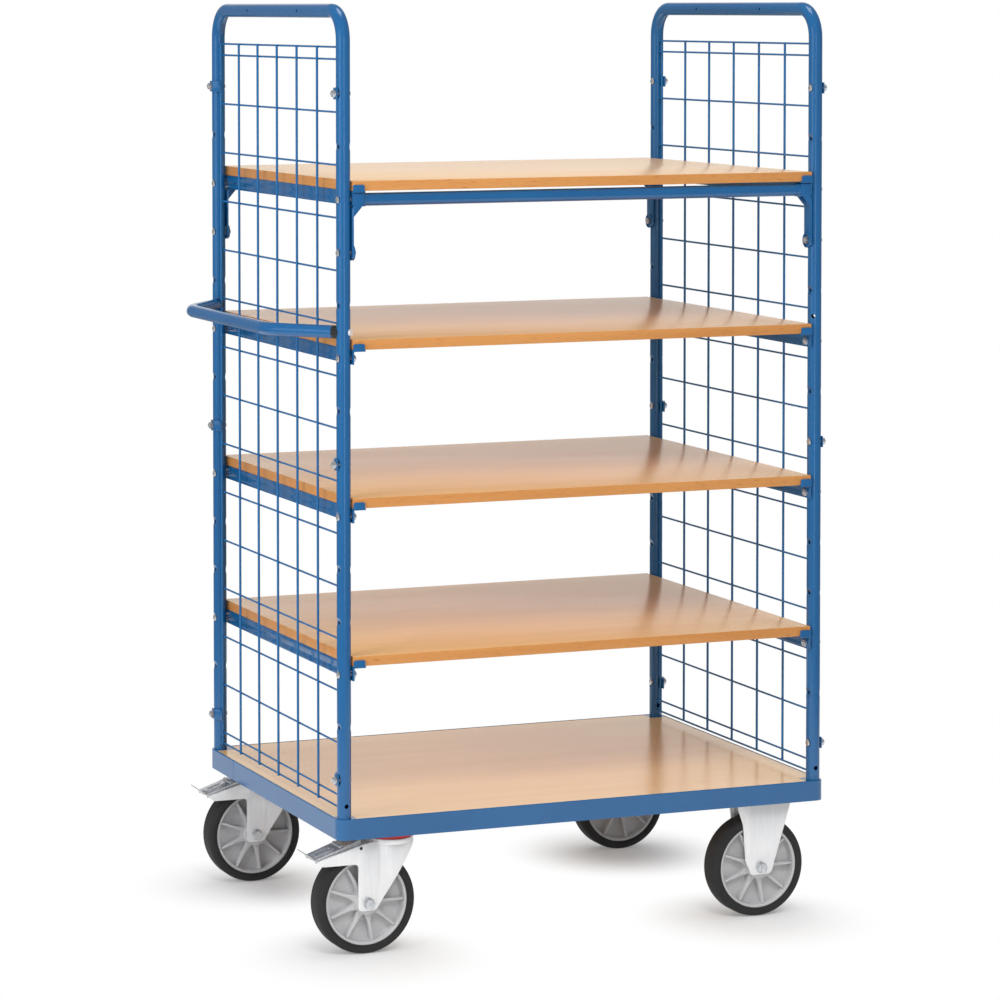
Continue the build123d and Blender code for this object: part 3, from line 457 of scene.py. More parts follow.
# %% Make a finish
def finish(name, group, values, gloss, bump, shader_values=None):
    """A material whose colour, roughness and bump come from one shared group.

    The gloss is its least and greatest roughness, and the bump its strength and depth in metres.
    """
    material = bpy.data.materials.new(name)
    material.use_nodes = True
    tree = material.node_tree
    tree.nodes.clear()
    effect = put(tree, "ShaderNodeGroup", node_tree=group)
    for key, value in {**values, "Gloss Low": gloss[0], "Gloss High": gloss[1]}.items():
        effect.inputs[key].default_value = value
    relief = put(tree, "ShaderNodeBump", {"Strength": bump[0], "Distance": bump[1]})
    shader = put(tree, "ShaderNodeBsdfPrincipled", shader_values)
    out = put(tree, "ShaderNodeOutputMaterial")
    join_all(
        tree,
        [
            (effect.outputs["Colour"], shader.inputs["Base Color"]),
            (effect.outputs["Roughness"], shader.inputs["Roughness"]),
            (effect.outputs["Height"], relief.inputs["Height"]),
            (relief.outputs["Normal"], shader.inputs["Normal"]),
            (shader.outputs[0], out.inputs["Surface"]),
        ],
    )
    return material


blue_paint = finish(
    "blue_powder_coat",
    coat_group,
    {"Colour": srgb(22, 93, 147), "Shade": srgb(21, 88, 141), "Patch Scale": 5.0, "Grain Scale": 850.0},
    gloss=(0.13, 0.18),
    bump=(0.02, 0.0004),
    shader_values={"IOR": 1.6},
)
wire_paint = finish(
    "blue_wire_coat",
    coat_group,
    {"Colour": srgb(28, 102, 160), "Shade": srgb(26, 97, 153), "Patch Scale": 9.0, "Grain Scale": 1100.0},
    gloss=(0.25, 0.36),
    bump=(0.1, 0.0003),
)
board_face = finish(
    "beech_board_face",
    beech_group,
    {
        "Pale": srgb(236, 192, 137),
        "Deep": srgb(231, 184, 127),
        "Fleck": srgb(214, 160, 100),
        "Fleck Share": 0.3,
    },
    gloss=(0.24, 0.27),
    bump=(0.004, 0.0003),
    shader_values={"Specular IOR Level": 0.23},
)
# The deck's beech is paler than the shelves': painted light, standing in for the light that the shelves above
# keep off it.
deck_face = finish(
    "beech_deck_face",
    beech_group,
    {
        "Pale": srgb(243, 200, 138),
        "Deep": srgb(238, 192, 128),
        "Fleck": srgb(222, 166, 102),
        "Fleck Share": 0.3,
    },
    gloss=(0.23, 0.25),
    bump=(0.004, 0.0003),
    shader_values={"Specular IOR Level": 0.9},
)
board_edge = finish(
    "beech_board_edge",
    beech_group,
    {
        "Pale": srgb(211, 148, 84),
        "Deep": srgb(196, 130, 66),
        "Fleck": srgb(160, 98, 46),
        "Fleck Share": 0.6,
    },
    gloss=(0.3, 0.4),
    bump=(0.15, 0.0004),
)
zinc_sheet = finish(
    "bright_zinc_sheet",
    zinc_group,
    {"Bright": srgb(244, 245, 246), "Dull": srgb(233, 234, 236), "Cloud Scale": 14.0},
    gloss=(0.28, 0.4),
    bump=(0.06, 0.0003),
    shader_values={"Metallic": 0.47},
)
zinc_pedal = finish(
    "bright_zinc_pedal",
    zinc_group,
    {"Bright": srgb(222, 223, 225), "Dull": srgb(192, 194, 198), "Cloud Scale": 40.0},
    gloss=(0.22, 0.34),
    bump=(0.03, 0.0002),
    shader_values={"Metallic": 0.75},
)
zinc_bolt = finish(
    "bright_zinc_fastener",
    zinc_group,
    {"Bright": srgb(222, 225, 228), "Dull": srgb(182, 187, 193), "Cloud Scale": 140.0},
    gloss=(0.2, 0.36),
    bump=(0.05, 0.0002),
    shader_values={"Metallic": 0.8},
)
axle_steel = finish(
    "turned_steel",
    zinc_group,
    {"Bright": srgb(196, 198, 202), "Dull": srgb(160, 163, 168), "Cloud Scale": 90.0},
    gloss=(0.24, 0.36),
    bump=(0.05, 0.0002),
    shader_values={"Metallic": 1.0},
)
rim_grey = finish(
    "grey_moulded_rim",
    coat_group,
    {
        "Colour": srgb(195, 195, 196),
        "Shade": srgb(186, 186, 188),
        "Patch Scale": 22.0,
        "Grain Scale": 1300.0,
    },
    gloss=(0.42, 0.56),
    bump=(0.12, 0.0003),
)
tyre_rubber = finish(
    "dark_grey_tyre",
    coat_group,
    {"Colour": srgb(47, 47, 48), "Shade": srgb(42, 42, 43), "Patch Scale": 18.0, "Grain Scale": 1100.0},
    gloss=(0.55, 0.75),
    bump=(0.25, 0.0004),
    shader_values={"Specular IOR Level": 0.25},
)
seal_red = finish(
    "red_seal_plastic",
    coat_group,
    {"Colour": srgb(214, 36, 34), "Shade": srgb(196, 28, 28), "Patch Scale": 20.0, "Grain Scale": 1200.0},
    gloss=(0.28, 0.4),
    bump=(0.06, 0.0002),
)
# Black for the saddles; the same finish is the black plug that paints the shade inside the pedal pins.
saddle_black = finish(
    "black_saddle_and_bore_shade",
    coat_group,
    {"Colour": srgb(34, 35, 37), "Shade": srgb(26, 27, 29), "Patch Scale": 25.0, "Grain Scale": 1300.0},
    gloss=(0.42, 0.6),
    bump=(0.15, 0.0003),
)
print("finishes", [material.name for material in bpy.data.materials])

# %% [markdown]
# ## Dressing the CAD pieces
#
# First every CAD node gets its finish, so that nothing is left plain. The record says which slot each
# node belongs to, and each slot has one finish here. The tubes, the push handle and the two mesh walls
# already have their true shapes, so they stay CAD nodes; the wires only get their own blue, and the deck,
# which is coated harder than the shelves, its own gloss and a paler tone. The paler tone is painted
# light: it stands in for the light that the shelves above keep off the deck.

# %% Finishes by slot
slot_finish = {
    "blue_paint": blue_paint,
    "beech_board": board_face,
    "zinc": zinc_sheet,
    "axle_steel": axle_steel,
    "rim_grey": rim_grey,
    "tyre_grey": tyre_rubber,
    "seal_red": seal_red,
    "saddle_black": saddle_black,
}
node_finish = {
    "mesh_panel_left": wire_paint,
    "mesh_panel_right": wire_paint,
    "deck_board": deck_face,
}
node_slot = {entry["node"]: entry["material_slot"] for entry in frame["record"]["subparts"]}
for name, node in nodes.items():
    node.data.materials.clear()
    node.data.materials.append(node_finish.get(name, slot_finish[node_slot[name]]))
print("dressed", len(nodes), "nodes")

# %% [markdown]
# ## Turning a mesh into a piece
#
# One helper does all of that. The others here are the steps that most pieces share: closing seams,
# rounding edges, drawing an outline and joining two shapes.

# %% Piece and shape helpers
MM = 0.001
CRISP = math.radians(34.0)
MERGE = 2e-6
LEVEL = 1e-5  # heights closer than this are the same


def add_piece(name, bm, body, slot, looks, *stands_for):
    """Make an object from a bmesh, hang it on its body and hide the CAD nodes that it stands for."""
    mesh = bpy.data.meshes.new(name)
    bm.to_mesh(mesh)
    bm.free()
    for look in looks:
        mesh.materials.append(look)
    mesh.polygons.foreach_set("use_smooth", [True] * len(mesh.polygons))
    mesh.set_sharp_from_angle(angle=CRISP)
    thing = bpy.data.objects.new(name, mesh)
    scene.collection.objects.link(thing)
    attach(thing, body)
    if stands_for:
        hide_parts(*stands_for)
    print(name, len(mesh.polygons), "faces")
    return thing


def close_up(bm):
    """Merge the seams of a turned or mirrored shape and face it outwards."""
    bmesh.ops.remove_doubles(bm, verts=bm.verts, dist=MERGE)
    bmesh.ops.recalc_face_normals(bm, faces=bm.faces)


def round_off(bm, edges, width, segments, clamped=False):
    """Round some edges of a shape, and give back what the bevel made."""
    return bmesh.ops.bevel(
        bm,
        geom=edges,
        offset=width,
        segments=segments,
        profile=0.5,
        affect="EDGES",
        clamp_overlap=clamped,
        material=-1,
    )


def outline(bm, places, rounds, segments):
    """A flat face through some places, with some corners rounded by radii in mm."""
    corners = [bm.verts.new(place) for place in places]
    bm.faces.new(corners)
    for index, radius in rounds.items():
        bmesh.ops.bevel(
            bm,
            geom=[corners[index]],
            offset=radius * MM,
            segments=segments,
            profile=0.5,
            affect="VERTICES",
            material=-1,
        )


def block(bm, low, high):
    """A cube between two corners."""
    bmesh.ops.create_cube(bm, size=1.0)
    bmesh.ops.scale(bm, vec=high - low, verts=bm.verts)
    bmesh.ops.translate(bm, vec=(low + high) / 2, verts=bm.verts)


def upright_edges(bm):
    """The edges of a shape that rise."""
    return [e for e in bm.edges if abs(e.verts[0].co.z - e.verts[1].co.z) > LEVEL]


def absorb(bm, other):
    """Add another bmesh's shape to this one."""
    spare = bpy.data.meshes.new("spare")
    other.to_mesh(spare)
    other.free()
    bm.from_mesh(spare)
    bpy.data.meshes.remove(spare)


# %% [markdown]
# ## Boards
#
# The shelves are coated chipboard with a wood decor and a glued edge band. A board is a cube scaled to
# the CAD board's box, with its edges rounded by the tiny radius that a router leaves on an edge band.
# The flat faces get the pale decor and everything round the rim gets the stronger edge colour.

# %% Shelf boards
BAND_ROUND = 1.0 * MM
BAND_LEAN = 0.75  # a face whose normal rises by less than this belongs to the edge band
SHELVES = (1, 2, 3, 4)


def board(bm, low, high):
    """A cube between two corners, with rounded edges."""
    block(bm, low, high)
    round_off(bm, bm.edges[:], BAND_ROUND, segments=3)


for row in SHELVES:
    bm = bmesh.new()
    board(bm, *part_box(f"shelf_board_{row}"))
    bm.normal_update()
    for face in bm.faces:
        face.material_index = 0 if abs(face.normal.z) > BAND_LEAN else 1
    add_piece(
        f"beech_shelf_{row}", bm, "trolley", "beech_board", (board_face, board_edge), f"shelf_board_{row}"
    )

# %% [markdown]
# ## Pressed and folded sheet
#
# Rails, brackets, clips and pedals are cut from sheet steel, and a cut edge is never quite sharp: it
# catches a thin line of light. Their CAD shapes are right, so a copy is merged into whole faces and a
# bevel runs along every sharp edge. The CAD node itself is left alone and hidden.

# %% Copies with eased edges
FLAT = math.radians(0.4)
SHARP = math.radians(38.0)
SHEET_EASE, PEDAL_EASE, FORK_EASE = 0.6 * MM, 0.45 * MM, 0.8 * MM


def copy_of(node):
    """A copy of a CAD node with its triangles merged and its flat faces whole."""
    bm = bmesh.new()
    bm.from_mesh(nodes[node].data)
    bmesh.ops.remove_doubles(bm, verts=bm.verts, dist=MERGE)
    bmesh.ops.dissolve_limit(bm, angle_limit=FLAT, verts=bm.verts, edges=bm.edges)
    return bm


def ease(bm, width):
    """Round the sharp edges of a shape."""
    sharp = [e for e in bm.edges if e.is_manifold and e.calc_face_angle() > SHARP]
    round_off(bm, sharp, width, segments=2, clamped=True)


eased_nodes = [f"shelf_rail_{row}_{side}" for row in SHELVES for side in ("left", "right")]
eased_nodes += ["brace_brackets", "mesh_clips", "handle_saddles"]
for name in eased_nodes:
    bm = copy_of(name)
    ease(bm, SHEET_EASE)
    slot = node_slot[name]
    add_piece(f"{name}_eased", bm, "trolley", slot, (slot_finish[slot],), name)

# %% [markdown]
# ## Tyres
#
# A tyre is a body of revolution, so its half section is drawn once and spun round the axle. The section
# starts as a few corner points; a vertex bevel rounds the two tread shoulders, and a small step near the
# rim is the bead where the rubber was moulded on.

# %% Spun tyres
TYRE_STEPS, RING_STEPS, PIN_STEPS = 96, 72, 32


def section(bm, points, rounds):
    """A closed loop through (radius, height) points in mm, with some corners rounded."""
    outline(bm, [(r * MM, 0.0, h * MM) for r, h in points], rounds, segments=4)
    bmesh.ops.delete(bm, geom=bm.faces[:], context="FACES_ONLY")


def turn_round(bm, steps):
    """Spin the loop round Z into a closed ring."""
    bmesh.ops.spin(
        bm,
        geom=bm.verts[:] + bm.edges[:],
        cent=(0.0, 0.0, 0.0),
        axis=(0.0, 0.0, 1.0),
        dvec=(0.0, 0.0, 0.0),
        angle=2 * math.pi,
        steps=steps,
        use_merge=True,
        use_duplicate=False,
    )
    close_up(bm)


def lay_on_axle(bm, middle):
    """Turn a shape made round Z so that it lies along Y, at a wheel's middle."""
    bmesh.ops.rotate(bm, cent=(0, 0, 0), matrix=Matrix.Rotation(math.pi / 2, 3, "X"), verts=bm.verts)
    bmesh.ops.translate(bm, vec=middle, verts=bm.verts)


TYRE_SECTION = [
    (83.1, -22.6),
    (86.2, -22.6),
    (87.0, -23.6),
    (100.0, -23.9),
    (100.0, 23.9),
    (87.0, 23.6),
    (86.2, 22.6),
    (83.1, 22.6),
]
TYRE_ROUNDS = {3: 9.6, 4: 9.6, 2: 0.6, 5: 0.6}
for wheel, body in WHEELS.items():
    bm = bmesh.new()
    section(bm, TYRE_SECTION, TYRE_ROUNDS)
    turn_round(bm, TYRE_STEPS)
    lay_on_axle(bm, middle_of(f"tyre_{wheel}"))
    add_piece(f"rubber_tyre_{wheel}", bm, body, "tyre_grey", (tyre_rubber,), f"tyre_{wheel}")

# %% [markdown]
# ## Rims
#
# The rim is one plastic moulding: a ring that carries the tyre, a hub, a thin web between them and nine
# stiffening ribs on each side that flare out where they run into the hub. Ring, web and hub share one
# section, so they are spun together; a rib is drawn flat, extruded, eased and then copied round.

# %% Moulded rims
RIM_SECTION = [
    (83.0, -21.0),
    (83.0, 21.0),
    (77.6, 21.0),
    (75.6, 4.0),
    (25.5, 4.0),
    (23.0, 29.0),
    (14.1, 29.0),
    (14.1, -29.0),
    (23.0, -29.0),
    (25.5, -4.0),
    (75.6, -4.0),
    (77.6, -21.0),
]
RIM_ROUNDS = {0: 0.8, 1: 0.8, 2: 1.6, 3: 4.0, 4: 3.0, 5: 1.4, 8: 1.4, 9: 3.0, 10: 4.0, 11: 1.6}
RIB_HALF = [(20.0, 8.5), (25.0, 6.8), (30.0, 5.2), (36.0, 3.9), (44.0, 3.0), (60.0, 2.4), (76.4, 2.2)]
RIB_COUNT = 9
RIB_FOOT, RIB_TOP, RIB_EASE = 3.0, 18.6, 0.9


def add_rib(bm, turn, side):
    """One rib on one side of the web, at an angle round the hub."""
    edge = RIB_HALF + [(r, -half) for r, half in reversed(RIB_HALF)]
    face = bm.faces.new([bm.verts.new((r * MM, h * MM, RIB_FOOT * MM)) for r, h in edge])
    grown = bmesh.ops.extrude_face_region(bm, geom=[face], use_keep_orig=True)["geom"]
    top = [item for item in grown if isinstance(item, bmesh.types.BMVert)]
    bmesh.ops.translate(bm, vec=(0.0, 0.0, (RIB_TOP - RIB_FOOT) * MM), verts=top)
    top_edges = [item for item in grown if isinstance(item, bmesh.types.BMEdge)]
    rib = set(face.verts) | set(top)
    eased = round_off(bm, top_edges, RIB_EASE * MM, segments=2)
    rib = {v for v in rib if v.is_valid} | set(eased["verts"])
    if side < 0:
        bmesh.ops.scale(bm, vec=(1.0, 1.0, -1.0), verts=list(rib))
    bmesh.ops.rotate(bm, cent=(0, 0, 0), matrix=Matrix.Rotation(turn, 3, "Z"), verts=list(rib))


for wheel, body in WHEELS.items():
    bm = bmesh.new()
    section(bm, RIM_SECTION, RIM_ROUNDS)
    turn_round(bm, RING_STEPS)
    for side in (-1, 1):
        for step in range(RIB_COUNT):
            add_rib(bm, step * 2 * math.pi / RIB_COUNT, side)
    close_up(bm)
    lay_on_axle(bm, middle_of(f"rim_{wheel}"))
    add_piece(f"moulded_rim_{wheel}", bm, body, "rim_grey", (rim_grey,), f"rim_{wheel}")

# %% [markdown]
# ## Swivel forks
#
# A swivel fork is pressed from one sheet: two cheeks run down to the axle, widen towards the round head
# and carry an arm for the brake pedal. Each cheek starts as a flat outline, gets cut across where it
# starts to widen, is bent outwards to follow the head, and is then given its thickness. The head is a
# shallow cup, spun round the swivel axis, whose lip rises round the seal.

# %% Swivel forks
CHEEK = [
    (-21.0, 86.0),
    (15.0, 86.0),
    (91.0, 210.0),
    (91.0, 217.5),
    (0.0, 217.5),
    (-106.5, 187.0),
    (-93.5, 177.0),
    (-21.0, 177.0),
]
CHEEK_ROUNDS = {0: 8.0, 1: 8.0, 2: 6.0, 3: 5.0, 4: 20.0, 5: 2.0, 6: 3.0, 7: 8.0}
CHEEK_IN, SHEET = 30.0, 4.0
HEAD_X = 54.0
WIDEN_FROM, WIDEN_BY = 14.0, 6.5
NARROW_BY, NARROW_RUN = 12.0, 40.0  # past the head's middle the cheeks close in again
CHEEK_CUTS = range(14, 94, 5)
BRIDGE_LOW, BRIDGE_HIGH = Vector((3.0, -33.2, 213.2)), Vector((HEAD_X, 33.2, 217.2))
HEAD_CUP = [
    (8.1, 215.0),
    (38.0, 215.0),
    (43.0, 213.6),
    (44.4, 211.5),
    (46.6, 211.5),
    (47.4, 214.5),
    (47.2, 220.4),
    (46.2, 221.4),
    (44.6, 221.4),
    (44.4, 219.2),
    (36.4, 219.2),
    (36.4, 223.1),
    (8.1, 223.1),
]
HEAD_ROUNDS = {2: 1.2, 3: 0.8, 4: 0.6, 5: 1.4, 6: 0.4, 7: 0.4}


def widening(x):
    """How far out a cheek stands at a place along it, in mm from the axle."""
    if x <= WIDEN_FROM:
        return 0.0
    if x <= HEAD_X:
        way = (x - WIDEN_FROM) / (HEAD_X - WIDEN_FROM)
        return WIDEN_BY * way * way * (3.0 - 2.0 * way)
    return WIDEN_BY - NARROW_BY * ((x - HEAD_X) / NARROW_RUN) ** 2


def flat_blank(points, rounds, cuts, side):
    """A flat outline in X and Z, in mm, with rounded corners, some cuts straight across and its face out."""
    bm = bmesh.new()
    outline(bm, [(x * MM, 0.0, z * MM) for x, z in points], rounds, segments=5)
    for cut in cuts:
        everything = bm.verts[:] + bm.edges[:] + bm.faces[:]
        bmesh.ops.bisect_plane(bm, geom=everything, plane_co=(cut * MM, 0, 0), plane_no=(1, 0, 0))
    for face in bm.faces:
        if face.normal.y * side < 0:
            face.normal_flip()
    return bm


def thicken(bm):
    """Give a bent blank the thickness of its sheet, and ease its edges."""
    bm.normal_update()
    bmesh.ops.solidify(bm, geom=bm.faces[:], thickness=-SHEET * MM)
    close_up(bm)
    ease(bm, FORK_EASE)


def cheek(side):
    """One cheek of a swivel fork, with its axle above the origin; side is -1 in front, 1 behind."""
    bm = flat_blank(CHEEK, CHEEK_ROUNDS, CHEEK_CUTS, side)
    for vert in bm.verts:
        vert.co.y = side * (CHEEK_IN + widening(vert.co.x / MM)) * MM
    thicken(bm)
    return bm


def swivel_fork(place):
    """A whole fork; place is on the floor, under the axle's middle."""
    bm = bmesh.new()
    for side in (-1, 1):
        absorb(bm, cheek(side))
    cup = bmesh.new()
    section(cup, HEAD_CUP, HEAD_ROUNDS)
    turn_round(cup, RING_STEPS)
    bmesh.ops.translate(cup, vec=(HEAD_X * MM, 0, 0), verts=cup.verts)
    absorb(bm, cup)
    bridge = bmesh.new()
    board(bridge, BRIDGE_LOW * MM, BRIDGE_HIGH * MM)
    absorb(bm, bridge)
    bmesh.ops.translate(bm, vec=place, verts=bm.verts)
    return bm


for side in ("front", "back"):
    bm = swivel_fork(foot_of(f"tyre_swivel_{side}"))
    add_piece(f"pressed_fork_{side}", bm, f"swivel_{side}", "zinc", (zinc_sheet,), f"swivel_fork_{side}")

# %% [markdown]
# ## Fixed forks
#
# The fixed forks are folded too, but with a straight wing along the edge that faces the handle. The
# cheek and its wing are drawn as one flat blank, and the strip past the fold is turned in three small
# steps so that the bend is round, as a press brake leaves it. A plate with rounded corners closes the top.

# %% Fixed forks
FIXED_BLANK = [
    (22.0, 86.0),
    (66.0, 228.0),
    (66.0, 232.0),
    (-46.0, 232.0),
    (-46.0, 214.0),
    (-36.0, 186.0),
    (-31.0, 114.0),
    (-24.5, 98.0),
    (-24.0, 86.0),
]
FIXED_ROUNDS = {0: 8.0, 8: 8.0, 5: 6.0, 4: 3.0}
FOLDS = [-24.0, -26.0, -28.0]
FOLD_STEP = math.radians(15.0)
PLATE_ROUND, PLATE_THICK = 10.0 * MM, 5.0 * MM


def fixed_cheek(side):
    """One folded cheek of a fixed fork, with its axle above the origin."""
    bm = flat_blank(FIXED_BLANK, FIXED_ROUNDS, FOLDS, side)
    bmesh.ops.translate(bm, vec=(0, side * CHEEK_IN * MM, 0), verts=bm.verts)
    line = Vector((FOLDS[0] * MM, side * CHEEK_IN * MM, 0))
    for index, fold in enumerate(FOLDS):
        wing = [v for v in bm.verts if v.co.x < line.x - LEVEL]
        bmesh.ops.rotate(bm, cent=line, matrix=Matrix.Rotation(side * FOLD_STEP, 3, "Z"), verts=wing)
        if index + 1 < len(FOLDS):
            run = (FOLDS[index] - FOLDS[index + 1]) * MM
            angle = (index + 1) * FOLD_STEP
            line = line + Vector((-math.cos(angle) * run, -side * math.sin(angle) * run, 0))
    thicken(bm)
    return bm


def round_plate(low, high):
    """A plate with rounded upright corners and eased edges."""
    bm = bmesh.new()
    block(bm, low, high)
    round_off(bm, upright_edges(bm), PLATE_ROUND, segments=5)
    ease(bm, SHEET_EASE)
    return bm


for side in ("front", "back"):
    low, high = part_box(f"fixed_fork_{side}")
    bm = bmesh.new()
    for face_side in (-1, 1):
        absorb(bm, fixed_cheek(face_side))
    bmesh.ops.translate(bm, vec=foot_of(f"tyre_fixed_{side}"), verts=bm.verts)
    absorb(bm, round_plate(Vector((low.x, low.y, high.z - PLATE_THICK)), high))
    add_piece(f"folded_fork_{side}", bm, "trolley", "zinc", (zinc_sheet,), f"fixed_fork_{side}")

# %% [markdown]
# ## Brake pedals, pins and seals
#
# The pedal is a channel of thin sheet with a framed slot, a round stop and a turned-up release tongue;
# its CAD shape is copied and eased. The pedal turns on a rolled spring pin, which is a tube; the shade in
# its hollow is painted, as a black plug just inside both ends. The red ring above the fork's head keeps
# dirt out of the ball race.

# %% Pedals, pins and seals
PIN_SECTION = [(3.0, -34.2), (3.5, -34.2), (3.5, 34.2), (3.0, 34.2)]
PIN_ROUNDS = {1: 0.2, 2: 0.2}
# a black plug of this radius and length, just inside the pin, paints the shade of its hollow
PIN_BORE, PIN_SHADE_PLUG = 3.05, 68.14  # radius and length of the dark inside
SEAL_SECTION = [(38.3, 219.7), (43.9, 219.7), (44.0, 228.0), (42.6, 231.9), (38.3, 231.9)]
SEAL_ROUNDS = {1: 0.8, 2: 1.2, 3: 0.8}


def cone(bm, sides, foot, top, tall):
    """A capped cone or cylinder along Z round the origin, in mm; gives back its vertices."""
    return bmesh.ops.create_cone(
        bm, cap_ends=True, segments=sides, radius1=foot * MM, radius2=top * MM, depth=tall * MM
    )["verts"]


for side in ("front", "back"):
    bm = copy_of(f"brake_pedal_{side}")
    ease(bm, PEDAL_EASE)
    add_piece(f"pressed_pedal_{side}", bm, f"pedal_{side}", "zinc", (zinc_pedal,), f"brake_pedal_{side}")
    bm = bmesh.new()
    section(bm, PIN_SECTION, PIN_ROUNDS)
    turn_round(bm, PIN_STEPS)
    # A black plug just inside the bore paints the shade of the pin's hollow.
    for vert in cone(bm, PIN_STEPS, PIN_BORE, PIN_BORE, PIN_SHADE_PLUG):
        for face in vert.link_faces:
            face.material_index = 1
    lay_on_axle(bm, middle_of(f"pedal_pin_{side}"))
    add_piece(
        f"rolled_pin_{side}", bm, f"swivel_{side}", "zinc", (zinc_bolt, saddle_black), f"pedal_pin_{side}"
    )

bm = bmesh.new()
for side in ("front", "back"):
    ring = bmesh.new()
    section(ring, SEAL_SECTION, SEAL_ROUNDS)
    turn_round(ring, RING_STEPS)
    bmesh.ops.translate(ring, vec=foot_of(f"swivel_plate_{side}"), verts=ring.verts)
    absorb(bm, ring)
add_piece("red_seals", bm, "trolley", "seal_red", (seal_red,), "swivel_seals")

# %% [markdown]
# ## Bolts and nuts
#
# Around a hundred fasteners hold the trolley together. Low round heads sit in the dimples of the posts,
# and hexagons hold the castors. A real hexagon head has corners turned away by a cone: here a twelve-sided
# cone shape is divided into rings, and the middle rings are pulled out to the flats and corners. Each CAD
# solid says where a fastener sits, which way it lies and at which end its head is, so the new ones land
# in the same places.


# %% Fastener shapes
HEX_SIDES, ROD_SIDES, BUTTON_SIDES = 12, 20, 24
HEX_FACE = 0.47  # radius of a hexagon's end faces, as a share of its width over the flats
FLAT_DROP = 0.2  # how far a flat is turned down, as a share of a corner
BUTTON_TOP, BUTTON_ROUND = 0.42, 1.3  # radius of a button's top as a share of its width, and its rounding


def lift(bm, low, high):
    """Move a shape made round the origin to between two heights in mm."""
    bmesh.ops.translate(bm, vec=(0, 0, (low + high) / 2 * MM), verts=bm.verts)


def hex_block(flats, low, high, turned):
    """A hexagon along Z from low to high, with turned corners; sizes in mm."""
    bm = bmesh.new()
    cone(bm, HEX_SIDES, HEX_FACE * flats, HEX_FACE * flats, high - low)
    rings = bmesh.ops.subdivide_edges(bm, edges=upright_edges(bm), cuts=2, use_grid_fill=True)
    middle = [item for item in rings["geom_inner"] if isinstance(item, bmesh.types.BMVert)]
    for vert in middle:
        angle = math.atan2(vert.co.y, vert.co.x)
        corner = round(angle / (2 * math.pi / HEX_SIDES)) % 2 == 0
        reach = (flats / math.sqrt(3.0) if corner else flats / 2) * MM
        drop = (turned if corner else FLAT_DROP * turned) * MM
        up = math.copysign((high - low) / 2 * MM - drop, vert.co.z)
        vert.co = Vector((math.cos(angle) * reach, math.sin(angle) * reach, up))
    lift(bm, low, high)
    return bm


def rod(diameter, low, high, tip):
    """A round shank along Z with tapered tips."""
    bm = bmesh.new()
    cone(bm, ROD_SIDES, diameter / 2, diameter / 2, high - low)
    rising = set(upright_edges(bm))
    round_off(bm, [e for e in bm.edges if e not in rising], tip * MM, segments=1)
    lift(bm, low, high)
    return bm


def button(diameter, low, high):
    """A low round head along Z, sloping and rounded towards its high end; sizes in mm."""
    bm = bmesh.new()
    cone(bm, BUTTON_SIDES, diameter / 2, BUTTON_TOP * diameter, high - low)
    crown = [e for e in bm.edges if min(v.co.z for v in e.verts) > 0]
    round_off(bm, crown, BUTTON_ROUND * MM, segments=3)
    lift(bm, low, high)
    return bm


# %% Where the CAD fasteners are
AXES = (Vector((1, 0, 0)), Vector((0, 1, 0)), Vector((0, 0, 1)))


def islands(name):
    """The separate solids of a CAD node, each as a list of points."""
    bm = bmesh.new()
    bm.from_mesh(nodes[name].data)
    bmesh.ops.remove_doubles(bm, verts=bm.verts, dist=MERGE)
    waiting, found = set(bm.verts), []
    while waiting:
        group, reached = [], [waiting.pop()]
        while reached:
            vert = reached.pop()
            group.append(vert.co.copy())
            for edge in vert.link_edges:
                near = edge.other_vert(vert)
                if near in waiting:
                    waiting.remove(near)
                    reached.append(near)
        found.append(group)
    bm.free()
    return found


def lie_of(points, longest):
    """Middle, size and axis of a solid: along its longest side, or else its shortest."""
    low = Vector([min(p[i] for p in points) for i in range(3)])
    high = Vector([max(p[i] for p in points) for i in range(3)])
    size = high - low
    axis = max(range(3), key=lambda i: size[i] if longest else -size[i])
    return (low + high) / 2, size, axis


def place_along(bm, middle, direction):
    """Turn a shape made along Z to a direction and move it to its place."""
    turned = direction.to_track_quat("Z", "Y").to_matrix()
    bmesh.ops.rotate(bm, cent=(0, 0, 0), matrix=turned, verts=bm.verts)
    bmesh.ops.translate(bm, vec=middle, verts=bm.verts)


def head_sign(points, middle, axis, reach):
    """1 where the wide end of a bolt is at the high end of its axis, else -1."""
    wide = [p[axis] for p in points if max(abs((p - middle)[i]) for i in range(3) if i != axis) > reach]
    return 1 if sum(wide) / len(wide) > middle[axis] else -1


# %% Bolts and nuts
BOLT_FLATS, BOLT_HEAD, BOLT_SHANK, BOLT_TIP = 13.0, 5.3, 7.9, 0.9
BOLT_TURNED, NUT_TURNED = 1.0, 0.9
BUTTON_D, BUTTON_HIGH = 14.0, 2.5
SHANK_SHORT = 1.0  # the shank ends this far inside the head
HEAD_SHARE = 0.6  # points further from the axis than this share of the shank belong to the head
for name in ("clip_bolts", "post_bolts", "castor_bolts"):
    bm = bmesh.new()
    for points in islands(name):
        middle, size, axis = lie_of(points, True)
        half = size[axis] / MM / 2
        way = AXES[axis] * head_sign(points, middle, axis, HEAD_SHARE * BOLT_SHANK * MM)
        if name == "castor_bolts":
            one = hex_block(BOLT_FLATS, half - BOLT_HEAD, half, BOLT_TURNED)
        else:
            one = button(BUTTON_D, half - BUTTON_HIGH, half)
        absorb(one, rod(BOLT_SHANK, -half, half - SHANK_SHORT, BOLT_TIP))
        place_along(one, middle, way)
        absorb(bm, one)
    add_piece(f"zinc_{name}", bm, "trolley", "zinc", (zinc_bolt,), name)

bm = bmesh.new()
for points in islands("hex_nuts"):
    middle, size, axis = lie_of(points, False)
    half = size[axis] / MM / 2
    one = hex_block(BOLT_FLATS, -half, half, NUT_TURNED)
    place_along(one, middle, AXES[axis])
    absorb(bm, one)
add_piece("zinc_hex_nuts", bm, "trolley", "zinc", (zinc_bolt,), "hex_nuts")

